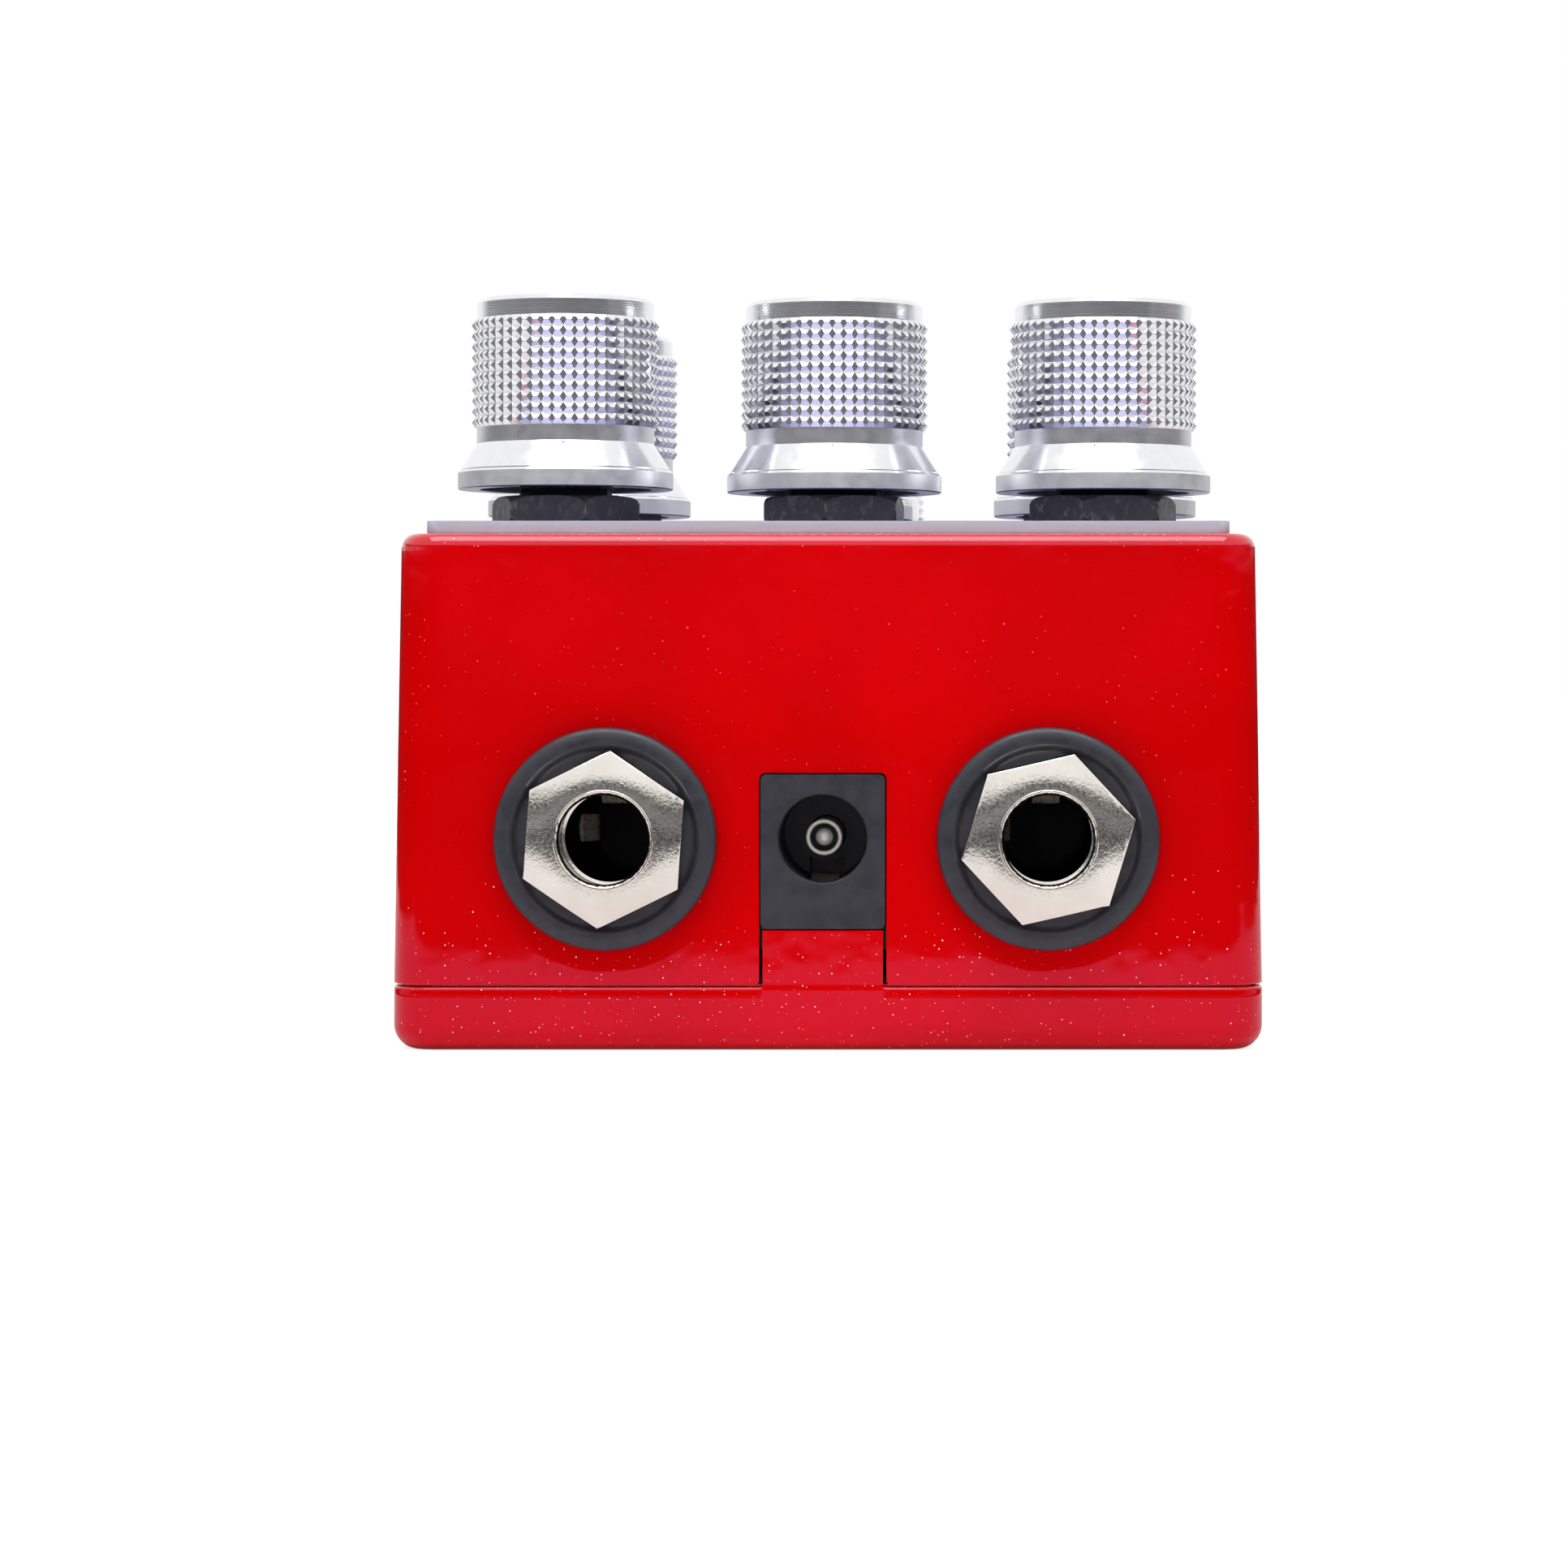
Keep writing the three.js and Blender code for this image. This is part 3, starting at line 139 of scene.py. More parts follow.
# A wide softbox hangs over the pedal, a small lamp behind the camera lights the jack wall and the bores, and
# another lights the back. Each has its width, depth, watts, place, tilt and turn.
LAMPS = {"softbox": (0.5, 0.38, 2.1, (0, -0.22, 0.52), 19, 0),
         "front": (0.22, 0.05, 0.9, (-0.03, -0.80, 0.04), 88.5, 0),
         "rear": (0.3, 0.3, 1.2, (0.15, 0.75, 0.4), 64, 168)}
for name, (width, depth, watts, place, tilt, turn) in LAMPS.items():
    light = bpy.data.lights.new(name, "AREA")
    light.shape = "RECTANGLE"
    light.size, light.size_y, light.energy = width, depth, watts
    lamp = bpy.data.objects.new(name, light)
    bpy.context.scene.collection.objects.link(lamp)
    lamp.location = place
    lamp.rotation_euler = (math.radians(tilt), 0, math.radians(turn))
    lamp.visible_camera = False
    lamp.visible_glossy = name == "softbox"

# ---------------------------------------------------------------- floor
# A sheet of white paper. Only reflections notice that it ends a little in front of the pedal and at both
# sides, where they turn dark.
PAPER_END, PAPER_SIDE, PAPER_FADE = -0.147, 0.2, 0.02
bpy.ops.object.select_all(action="DESELECT")
bpy.ops.mesh.primitive_plane_add(size=8)
floor = bpy.context.object
floor.name = "floor"
bpy.ops.object.mode_set(mode="EDIT")
bpy.ops.mesh.subdivide(number_cuts=3)
bpy.ops.object.mode_set(mode="OBJECT")
paper = bpy.data.materials.new("paper")
paper.use_nodes = True
tree = paper.node_tree
tree.nodes.clear()
ray = add_node(tree, "LightPath").outputs
place = add_node(tree, "SeparateXYZ", Vector=add_node(tree, "NewGeometry").outputs["Position"]).outputs
sideways = calculate(tree, "ABSOLUTE", place["X"])
beyond = calculate(tree, "MAXIMUM", ramp(tree, place["Y"], PAPER_END, PAPER_END - PAPER_FADE),
                   ramp(tree, sideways, PAPER_SIDE, PAPER_SIDE + PAPER_FADE))
hidden = times(tree, beyond, ray["Is Glossy Ray"])
sheet = add_node(tree, "BsdfDiffuse",
                 Color=mixed(tree, hidden, (0.86, 0.86, 0.87, 1), (0.05, 0.05, 0.05, 1)))
seen_or_mirrored = calculate(tree, "MAXIMUM", times(tree, ray["Is Camera Ray"], 0.75),
                             times(tree, ray["Is Glossy Ray"], 0.05))
lift = add_node(tree, "Emission", Color=WHITE,
                Strength=times(tree, seen_or_mirrored, calculate(tree, "SUBTRACT", 1.0, hidden)))
surface = add_node(tree, "AddShader", _0=sheet.outputs[0], _1=lift.outputs[0])
add_node(tree, "OutputMaterial", Surface=surface.outputs[0])
floor.data.materials.append(paper)

# ---------------------------------------------------------------- box
# The drafted die-cast aluminium shell, painted outside in a glossy red with fine sparkle. Its rim stands on
# the bottom cover, and every control and jack is clamped in a hole through its top or its jack wall.
MM = 0.001
BOX_WIDTH, BOX_LENGTH = 62.6, 112.0
COVER_HEIGHT, SEAM, CEILING, BOX_TOP = 4.65, 4.77, 34.9, 37.1
BOX_CORNER, BOX_EDGE = 3.0, 1.0
DRAFT, WALL = 0.5, 2.2
JACK_WALL = -BOX_LENGTH / 2
JACKS = {"input": -15.8, "output": 15.8}
JACK_HEIGHT, SLEEVE_HOLE = 15.2, 4.9
SOCKET_CENTRE, SLOT_HALF, SLOT_TOP = -0.3, 4.55, 19.9
COLUMN = 20.3
FIRST_ROW, SECOND_ROW = JACK_WALL + 17.5, JACK_WALL + 37.8
FOOTSWITCH_ROW = JACK_WALL + 98
# Each knob's axis, its lift over the plate, its turn at rest and the turn of its nut.
KNOBS = [(-COLUMN, FIRST_ROW, 2.85, 3.8, -10), (0, FIRST_ROW, 2.6, 0.5, 25),
         (COLUMN, FIRST_ROW, 2.6, -7.2, 14), (-COLUMN, SECOND_ROW, 1.55, 0, 4),
         (COLUMN, SECOND_ROW, 1.55, 0, -7)]
POT_HOLE, LAMP_HOLE, SWITCH_HOLE = 3.65, 4.15, 6.15
TOP_HOLES = [(x, y, POT_HOLE) for x, y, *_ in KNOBS] + [
    (0, SECOND_ROW, LAMP_HOLE), (0, FOOTSWITCH_ROW, SWITCH_HOLE)]
BOSS_INSET, BOSS_RADIUS, SCREW_HOLE = 4.6, 3.2, 1.65
SCREWS = [(sx * (BOX_WIDTH / 2 - BOSS_INSET), sy * (BOX_LENGTH / 2 - BOSS_INSET))
          for sy in (-1, 1) for sx in (-1, 1)]


def use_only(piece):
    """Makes a piece the only selected object and the active one."""
    bpy.ops.object.select_all(action="DESELECT")
    piece.select_set(True)
    bpy.context.view_layer.objects.active = piece


def settle():
    """Puts the selected piece's place, turn and size into its mesh."""
    bpy.ops.object.transform_apply(location=True, rotation=True, scale=True)


def block(name, low, high):
    """A box between two corners given in mm."""
    bpy.ops.object.select_all(action="DESELECT")
    bpy.ops.mesh.primitive_cube_add(size=1, location=[(a + b) / 2 * MM for a, b in zip(low, high)])
    piece = bpy.context.object
    piece.name = name
    piece.scale = [(b - a) * MM for a, b in zip(low, high)]
    settle()
    return piece


def pick(piece, kind, wanted):
    """Enters edit mode with only the wanted edges (given both ends) or faces (given middle and normal)."""
    use_only(piece)
    bpy.ops.object.mode_set(mode="EDIT")
    bpy.ops.mesh.select_mode(type=kind)
    bpy.ops.mesh.select_all(action="DESELECT")
    bpy.ops.object.mode_set(mode="OBJECT")
    if kind == "EDGE":
        points = piece.data.vertices
        for edge in piece.data.edges:
            edge.select = bool(wanted(*(points[i].co / MM for i in edge.vertices)))
    else:
        for face in piece.data.polygons:
            face.select = bool(wanted(face.center / MM, face.normal))
    bpy.ops.object.mode_set(mode="EDIT")


def bevel_edges(piece, width, segments, wanted):
    """Rounds the wanted edges, given both ends."""
    pick(piece, "EDGE", wanted)
    bpy.ops.mesh.bevel(offset=width * MM, segments=segments, profile=0.5)
    bpy.ops.object.mode_set(mode="OBJECT")


def slab(name, inset, low, high, corner=0.0, segments=10, draft=0.0):
    """A block a distance inside the box's walls, between two heights, with a draft and round corners."""
    half_width, half_length = BOX_WIDTH / 2 - inset, BOX_LENGTH / 2 - inset
    piece = block(name, (-half_width, -half_length, low), (half_width, half_length, high))
    if draft:
        pick(piece, "FACE", lambda middle, normal: normal.z > 0.9)
        bpy.ops.transform.resize(value=(1 - draft / half_width, 1 - draft / half_length, 1))
        bpy.ops.object.mode_set(mode="OBJECT")
    if corner:
        bevel_edges(piece, corner, segments, lambda a, b: abs(a.z - b.z) > 0.5)
    return piece


def spun(name, profile, sides):
    """Turns a profile of (radius, height) points, in mm, round Z. One that starts off the axis is a ring."""
    bpy.ops.object.select_all(action="DESELECT")
    bpy.ops.mesh.primitive_plane_add(size=MM)
    piece = bpy.context.object
    piece.name = name
    bpy.ops.object.mode_set(mode="EDIT")
    bpy.ops.mesh.select_mode(type="VERT")
    bpy.ops.mesh.select_all(action="SELECT")
    bpy.ops.mesh.merge(type="CENTER")
    (radius, height), *others = profile
    if radius > 0:
        others.append(profile[0])
    bpy.ops.transform.translate(value=(radius * MM, 0, height * MM))
    for next_radius, next_height in others:
        step = ((next_radius - radius) * MM, 0, (next_height - height) * MM)
        bpy.ops.mesh.extrude_region_move(TRANSFORM_OT_translate={"value": step})
        radius, height = next_radius, next_height
    bpy.ops.mesh.select_all(action="SELECT")
    bpy.ops.mesh.spin(steps=sides, angle=math.tau, center=(0, 0, 0), axis=(0, 0, 1))
    bpy.ops.mesh.select_all(action="SELECT")
    bpy.ops.mesh.remove_doubles(threshold=1e-6)
    bpy.ops.mesh.normals_make_consistent(inside=False)
    bpy.ops.object.mode_set(mode="OBJECT")
    return piece


def place_at(piece, x, y, z, turn=0.0, tilt=0.0):
    """Turns a piece about its own Z axis, tilts it about X, in degrees, and moves it, in mm."""
    use_only(piece)
    piece.rotation_euler = (0, 0, math.radians(turn))
    settle()
    piece.rotation_euler = (math.radians(tilt), 0, 0)
    piece.location = (x * MM, y * MM, z * MM)
    settle()
    return piece


def lay_in_wall(piece, x):
    """Turns a piece's Z axis out of the jack wall and moves it there, level with the jacks."""
    return place_at(piece, x, JACK_WALL, JACK_HEIGHT, tilt=90)


def rod(radius, low, high, sides=64):
    """An upright round rod to cut or join with, in mm."""
    return spun("rod", [(0, low), (radius, low), (radius, high), (0, high)], sides)


def carve(piece, tools, operation="DIFFERENCE"):
    """Cuts each tool out of a piece, or joins it on, and throws the tool away."""
    for tool in tools:
        cutter = piece.modifiers.new("carve", "BOOLEAN")
        cutter.operation = operation
        cutter.solver = "EXACT"
        cutter.object = tool
        use_only(piece)
        bpy.ops.object.modifier_apply(modifier=cutter.name)
        bpy.data.objects.remove(tool)


def round_edges(piece, width, segments, sharper_than, slot=-1):
    """Rounds every edge sharper than an angle. The new faces can have a material slot of their own."""
    rounding = piece.modifiers.new("rounding", "BEVEL")
    rounding.width = width * MM
    rounding.segments = segments
    rounding.limit_method = "ANGLE"
    rounding.angle_limit = math.radians(sharper_than)
    rounding.material = slot
    use_only(piece)
    bpy.ops.object.modifier_apply(modifier=rounding.name)


def finish_edges(piece, width=0.0, segments=2, sharper_than=40):
    """Rounds a piece's sharp edges, if it is given a width, then smooths its shading."""
    if width:
        round_edges(piece, width, segments, sharper_than)
    use_only(piece)
    bpy.ops.object.shade_smooth_by_angle(angle=math.radians(28))
    evening = piece.modifiers.new("evening", "WEIGHTED_NORMAL")
    evening.keep_sharp = True
    bpy.ops.object.modifier_apply(modifier=evening.name)


def dress(piece, material, slot, body, *replaced):
    """Gives a piece its material, its body and the nodes it stands for. The slot argument is not used."""
    piece.data.materials.clear()
    piece.data.materials.append(material)
    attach(piece, body)
    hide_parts(*replaced)


shell = slab("box_shell", 0, SEAM, BOX_TOP, BOX_CORNER, draft=DRAFT)
bevel_edges(shell, BOX_EDGE, 6, lambda a, b: min(a.z, b.z) > BOX_TOP - 0.01)
carve(shell, [slab("cavity", WALL, SEAM - 1, CEILING, BOX_CORNER - WALL, 6, 0.94 * DRAFT)])
carve(shell, [place_at(rod(BOSS_RADIUS, SEAM + 0.01, CEILING + 1, 32), x, y, 0) for x, y in SCREWS], "UNION")
carve(shell, [place_at(rod(SCREW_HOLE, SEAM - 1, SEAM + 9.5, 24), x, y, 0) for x, y in SCREWS])
carve(shell, [place_at(rod(radius, 30, BOX_TOP + 1), x, y, 0) for x, y, radius in TOP_HOLES])
for x in JACKS.values():
    carve(shell, [lay_in_wall(rod(SLEEVE_HOLE, -WALL - 2, 1), x)])
slot = block("slot", (SOCKET_CENTRE - SLOT_HALF, JACK_WALL - 1, 0),
             (SOCKET_CENTRE + SLOT_HALF, JACK_WALL + WALL + 2, SLOT_TOP))
bevel_edges(slot, 0.45, 4, lambda a, b: abs(a.y - b.y) > 2 and min(a.z, b.z) > SLOT_TOP - 0.1)
carve(shell, [slot])
# The slot's two lower corners are rounded off.
bevel_edges(shell, 0.3, 4, lambda a, b: abs(abs(a.x - SOCKET_CENTRE) - SLOT_HALF) < 0.01
            and abs(a.x - b.x) < 0.01 and max(a.z, b.z) < SEAM + 0.1
            and max(a.y, b.y) < JACK_WALL + 3 and abs(a.y - b.y) > 1)
finish_edges(shell, 0.12)


def new_material(name, **values):
    """A Principled material with constants on its own sockets, and its node tree and shader."""
    material = bpy.data.materials.new(name)
    material.use_nodes = True
    shader = material.node_tree.nodes["Principled BSDF"]
    for socket, value in values.items():
        shader.inputs[socket.replace("_", " ")].default_value = value
    return material, material.node_tree, shader


def feed(tree, shader, **outputs):
    """Links outputs to a shader's sockets, named with _ for a space."""
    for socket, output in outputs.items():
        tree.links.new(output, shader.inputs[socket.replace("_", " ")])


def raised(tree, height, strength, distance):
    """Normals as if the surface stood a distance high, in metres, where a value is 1."""
    return add_node(tree, "Bump", Height=height, Strength=strength, Distance=distance).outputs[0]


def own_place(tree):
    """The X, Y and Z of a point in its piece's own coordinates."""
    return add_node(tree, "SeparateXYZ", Vector=add_node(tree, "TexCoord").outputs["Object"]).outputs


def new_group(name, inputs, outputs):
    """A shader node group with named sockets, and its input and output nodes."""
    group = bpy.data.node_groups.new(name, "ShaderNodeTree")
    for socket, (kind, value) in inputs.items():
        made = group.interface.new_socket(socket, in_out="INPUT", socket_type="NodeSocket" + kind)
        made.default_value = value
    for socket, kind in outputs.items():
        group.interface.new_socket(socket, in_out="OUTPUT", socket_type="NodeSocket" + kind)
    return group, group.nodes.new("NodeGroupInput").outputs, group.nodes.new("NodeGroupOutput").inputs


def use_group(tree, group, **inputs):
    """Places a group in a material, with its own values."""
    node = tree.nodes.new("ShaderNodeGroup")
    node.node_tree = group
    for name, value in inputs.items():
        set_input(tree, node.inputs[name], value)
    return node.outputs


# Grain: noise at a scale of its own along each axis, in cells to the metre.
grain, given, out = new_group("grain", {"Cells": ("Vector", (500, 500, 500)), "Detail": ("Float", 3.0)},
                              {"Height": "Float"})
spot = add_node(grain, "VectorMath", {"operation": "MULTIPLY"},
                _0=add_node(grain, "TexCoord").outputs["Object"], _1=given["Cells"])
noise = add_node(grain, "TexNoise", Vector=spot.outputs[0], Scale=1.0, Detail=given["Detail"], Roughness=0.6)
grain.links.new(noise.outputs["Fac"], out["Height"])


def grained(tree, detail, *cells):
    """The height of the grain, with one number of cells, or one for each axis."""
    return use_group(tree, grain, Cells=cells if len(cells) == 3 else cells * 3, Detail=detail)["Height"]


# Scattered spots: the share of cells that hold one, and how wide it is, as a share of a cell.
specks, given, out = new_group(
    "specks", {"Cells": ("Float", 1000.0), "Share": ("Float", 0.5), "Width": ("Float", 0.1)},
    {"Mask": "Float", "Strength": "Float"})
cells = add_node(specks, "TexVoronoi", Vector=add_node(specks, "TexCoord").outputs["Object"],
                 Scale=given["Cells"])
chance = add_node(specks, "SeparateColor", Color=cells.outputs["Color"]).outputs
kept = calculate(specks, "LESS_THAN", chance["Red"], given["Share"])
size = times(specks, given["Width"], calculate(specks, "ADD", chance["Green"], 0.5))
near = calculate(specks, "LESS_THAN", cells.outputs["Distance"], size)
specks.links.new(times(specks, kept, near), out["Mask"])
specks.links.new(chance["Blue"], out["Strength"])

# The rounded top edge's heights, and the tab's side from its middle, in metres as the paint reads them.
EDGE_LOW, EDGE_HIGH = 0.0354, 0.0360
TAB_SIDE = 0.0043
# How far the paint's shading height grows with each metre up a wall, which cancels the wall's lean.
UPRIGHTING = 157.0

red_paint, tree, shader = new_material("red_paint", Roughness=0.05, Specular_IOR_Level=0.36,
                                       Specular_Tint=(0.8, 0.46, 1.0, 1))
x, y, height = own_place(tree)
cloud = grained(tree, 2.0, 60)
base = mixed(tree, ramp(tree, cloud, 0.35, 0.65), (0.60, 0.0, 0.0, 1), (0.67, 0.0, 0.0, 1))
# It holds metal flakes, whose sparkle is painted in as bright glints: more and brighter near the floor, and
# painted glints also line the rounded top edge.
share = calculate(tree, "MAXIMUM", ramp(tree, height, 0.004, 0.0125, 0.32, 0.09),
                  ramp(tree, height, EDGE_LOW, EDGE_HIGH, 0.0, 0.28))
flakes = use_group(tree, specks, Cells=3400.0, Share=share, Width=0.145)
strong = calculate(tree, "MAXIMUM", ramp(tree, height, 0.006, 0.015, 1.0, 0.6),
                   ramp(tree, height, EDGE_LOW, EDGE_HIGH))
# Each flake's painted glint, strongest near the floor and on the rounded top edge.
painted_glint = times(tree, flakes["Strength"], strong)
bright = mixed(tree, ramp(tree, painted_glint, 0.3, 1.0), (0.80, 0.10, 0.10, 1), (1.0, 0.85, 0.85, 1))
feed(tree, shader, Base_Color=mixed(tree, flakes["Mask"], base, bright))
# The clear coat is thick where it ran together: along the top edge, in one corner, and on the seam's lip.
corner_run = times(tree, ramp(tree, x, -0.0286, -0.0292), ramp(tree, height, 0.03575, 0.0359))
top_edge = calculate(tree, "MAXIMUM", ramp(tree, height, 0.03615, 0.03625), corner_run)
seam_lip = times(tree, ramp(tree, height, 0.0043, 0.0045), ramp(tree, height, 0.0049, 0.0047))
from_tab = calculate(tree, "ABSOLUTE", calculate(tree, "SUBTRACT", x, SOCKET_CENTRE * MM))
past_tab = ramp(tree, from_tab, TAB_SIDE, TAB_SIDE + 0.0004)
seam_lip = times(tree, seam_lip, past_tab)
feed(tree, shader, Coat_Weight=calculate(tree, "ADD", top_edge, seam_lip))
ripple = grained(tree, 1.0, 420)
# The paint sinks a little towards the holes in the jack wall, each with its middle, half width, half height,
# and the distances at which the paint starts to rise and is full.
level = 1.0
for centre, wide, tall, low, high in ((JACKS["input"], 0, 0, 7.2, 9.6), (JACKS["output"], 0, 0, 7.2, 9.6),
                                      (SOCKET_CENTRE, 2.55, 2.7, 2.0, 4.0)):
    away = []
    for place, middle, half in ((x, centre, wide), (height, JACK_HEIGHT, tall)):
        gap = calculate(tree, "ABSOLUTE", calculate(tree, "SUBTRACT", place, middle * MM))
        gap = calculate(tree, "MAXIMUM", calculate(tree, "SUBTRACT", gap, half * MM), 0.0)
        away.append(times(tree, gap, gap))
    reach = calculate(tree, "SQRT", calculate(tree, "ADD", *away))
    level = calculate(tree, "MINIMUM", level, ramp(tree, reach, low * MM, high * MM))
level = calculate(tree, "MAXIMUM", level, ramp(tree, y, -0.054, -0.05))
surface = calculate(tree, "ADD", times(tree, ripple, 0.14), times(tree, level, 0.7))
# It thins towards the cover's top edge.
thin = times(tree, past_tab, ramp(tree, height, 0.0038, 0.00455, 0.0, 0.55))
thin = times(tree, thin, calculate(tree, "LESS_THAN", height, (COVER_HEIGHT + SEAM) / 2 * MM))
surface = calculate(tree, "SUBTRACT", surface, thin)
# The leaning walls mirror the room as upright ones do.
above_seam = calculate(tree, "MAXIMUM", calculate(tree, "SUBTRACT", height, SEAM * MM), 0.0)
surface = calculate(tree, "ADD", surface, times(tree, above_seam, UPRIGHTING))
feed(tree, shader, Normal=raised(tree, surface, 1.0, 0.0001))
dress(shell, red_paint, "red_paint", "pedal", "enclosure_body")

# ---------------------------------------------------------------- bottom cover
# A shallow painted tray that closes the box from below. Its tab fills the foot of the power socket's slot,
# its lips slide inside the walls, and four countersunk screws pull it up against the bosses.
COVER_FLOOR, COVER_EDGE = 2.2, 1.75
LIP_FACE, LIP_THICKNESS, LIP_HALF = 28.92, 1.2, 47.2
TAB_HALF, TAB_TOP, TAB_LEAN = 4.3, 8.65, 0.036
LAND_INSET = 0.75


def on_rim(point):
    """Whether a point is on the outline of the box, and not on the tray's inner edge."""
    sideways, lengthways = abs(point.x) - BOX_WIDTH / 2, abs(point.y) - BOX_LENGTH / 2
    return math.hypot(*(max(v + BOX_CORNER, 0) for v in (sideways, lengthways))) > BOX_CORNER - 0.03


cover = slab("base_cover", 0, 0, COVER_HEIGHT, BOX_CORNER)
bevel_edges(cover, COVER_EDGE, 8, lambda a, b: max(a.z, b.z) < 0.01)
pick(cover, "FACE", lambda middle, normal: normal.z > 0.9)
bpy.ops.mesh.inset(thickness=WALL * MM, depth=0)
bpy.ops.mesh.extrude_region_move(
    TRANSFORM_OT_translate={"value": (0, 0, (COVER_FLOOR - COVER_HEIGHT) * MM)})
bpy.ops.object.mode_set(mode="OBJECT")
bevel_edges(cover, 0.3, 5, lambda a, b: min(a.z, b.z) > COVER_HEIGHT - 0.01 and on_rim(a) and on_rim(b))
pads = [place_at(rod(BOSS_RADIUS, COVER_FLOOR - 0.5, COVER_HEIGHT - 0.001, 32), x, y, 0) for x, y in SCREWS]
lips = [block("lip", (low, -LIP_HALF, COVER_FLOOR - 0.5), (low + LIP_THICKNESS, LIP_HALF, COVER_HEIGHT + 1.5))
        for low in (-LIP_FACE, LIP_FACE - LIP_THICKNESS)]
tab = block("tab", (SOCKET_CENTRE - TAB_HALF, JACK_WALL, 3),
            (SOCKET_CENTRE + TAB_HALF, JACK_WALL + WALL, TAB_TOP))
pick(tab, "EDGE", lambda a, b: min(a.z, b.z) > TAB_TOP - 0.1 and max(a.y, b.y) < JACK_WALL + 0.1)
bpy.ops.transform.translate(value=(0, TAB_LEAN * MM, 0))
bpy.ops.object.mode_set(mode="OBJECT")
# A land stands inside the rim and closes the seam.
land = slab("land", LAND_INSET, 3.5, SEAM - 0.005, BOX_CORNER - LAND_INSET)
carve(land, [slab("inside", WALL, 3, 6)])
carve(cover, [*pads, *lips, land, tab], "UNION")
sunk = [(0, -1), (2.65, -1), (2.65, 0.6), (SCREW_HOLE, 1.6), (SCREW_HOLE, COVER_HEIGHT + 1),
        (0, COVER_HEIGHT + 1)]
carve(cover, [place_at(spun("countersink", sunk, 40), x, y, 0) for x, y in SCREWS])
finish_edges(cover, 0.14)
dress(cover, red_paint, "red_paint", "pedal", "bottom_cover")

# ---------------------------------------------------------------- cover screws
# Four zinc-plated countersunk steel screws with a cross recess, driven up into the bosses from below.
# Each stopped at an angle of its own.
screw_profile = [(0, 0), (2.4, 0), (2.5, 0.1), (2.5, 0.3), (1.5, 1.3), (1.5, 9.8), (1.3, 10), (0, 10)]
RECESS_LONG, RECESS_WIDE, RECESS_DEPTH = 1.3, 0.35, 0.9
zinc, tree, shader = new_material("zinc_plate", Metallic=1.0, Roughness=0.35)
cast = grained(tree, 4.0, 900)
feed(tree, shader, Base_Color=mixed(tree, cast, (0.50, 0.51, 0.52, 1), (0.68, 0.68, 0.67, 1)))
feed(tree, shader, Roughness=ramp(tree, cast, 0.3, 0.7, 0.28, 0.45))
for number, (x, y) in enumerate(SCREWS, 1):
    screw = spun(f"countersunk_screw_{number}", screw_profile, 40)
    for wide, long in ((RECESS_WIDE, RECESS_LONG), (RECESS_LONG, RECESS_WIDE)):
        carve(screw, [block("recess", (-wide, -long, -1), (wide, long, RECESS_DEPTH))])
    finish_edges(screw, 0.05)
    place_at(screw, x, y, 0.15, turn=17 + 31 * number)
    dress(screw, zinc, "zinc_steel", "pedal", f"cover_screw_{number}")

# ---------------------------------------------------------------- face plate
# A plain sheet of aluminium, cut with bare edges and finished violet on top, held down by the controls' nuts.
# It is brushed along its width.
PLATE_LOW, PLATE_TOP = 37.13, 38.01
PLATE_INSET, PLATE_CORNER = 2.33, 0.9

plate = slab("top_plate", PLATE_INSET, PLATE_LOW, PLATE_TOP, PLATE_CORNER, 5)
carve(plate, [place_at(rod(radius, 36, 39), x, y, 0) for x, y, radius in TOP_HOLES])
finish_edges(plate, 0.06)

plate_finish, tree, shader = new_material("plate_finish", Specular_IOR_Level=0.5)
on_top = calculate(tree, "GREATER_THAN", own_place(tree)["Z"], (PLATE_TOP - 0.03) * MM)
brushed = grained(tree, 3.0, 160, 9000, 9000)
bare = mixed(tree, brushed, (0.455, 0.485, 0.585, 1), (0.63, 0.67, 0.785, 1))
streaks = grained(tree, 5.0, 30, 1600, 1600)
violet = mixed(tree, ramp(tree, streaks, 0.3, 0.7), (0.24, 0.23, 0.39, 1), (0.34, 0.33, 0.51, 1))
feed(tree, shader, Base_Color=mixed(tree, on_top, bare, violet))
feed(tree, shader, Metallic=ramp(tree, on_top, 0.0, 1.0, 0.15, 0.85))
feed(tree, shader, Roughness=ramp(tree, brushed, 0.3, 0.7, 0.32, 0.5))
feed(tree, shader, Normal=raised(tree, brushed, 0.3, 0.00003))
dress(plate, plate_finish, "brushed_plate", "pedal", "face_plate")

# ---------------------------------------------------------------- jacks
# Two quarter-inch jacks. Each has a black moulded housing on the jack board, a plated sleeve through the jack
# wall and two sprung contacts, and is clamped by a dished grey washer and a nickel-plated hex nut.
HOUSING_MOUTH, HOUSING_END = JACK_WALL + 3.52, JACK_WALL + 29.92
HOUSING_SIDE, HOUSING_HALF_HEIGHT = 7.3, 6.4
CHANNEL_HALF = 1.3
SLEEVE_RADIUS, SLEEVE_BACK = 4.75, -(WALL + 0.31)
WASHER_RADIUS, WASHER_HOLE, WASHER_RIM, WASHER_DISH, DISH_RADIUS = 7.95, SLEEVE_RADIUS + 0.15, 1.3, 0.6, 6.6
JACK_NUT_FLATS = 11
NUT_TURNS = {"input": 26, "output": 13}


def cylinder(name, sides, radius, low, high, turn=0.0):
    """An upright prism between two heights, in mm."""
    bpy.ops.object.select_all(action="DESELECT")
    bpy.ops.mesh.primitive_cylinder_add(vertices=sides, radius=radius * MM, depth=(high - low) * MM,
                                        location=(0, 0, (low + high) / 2 * MM),
                                        rotation=(0, 0, math.radians(turn)))
    piece = bpy.context.object
    piece.name = name
    settle()
    return piece


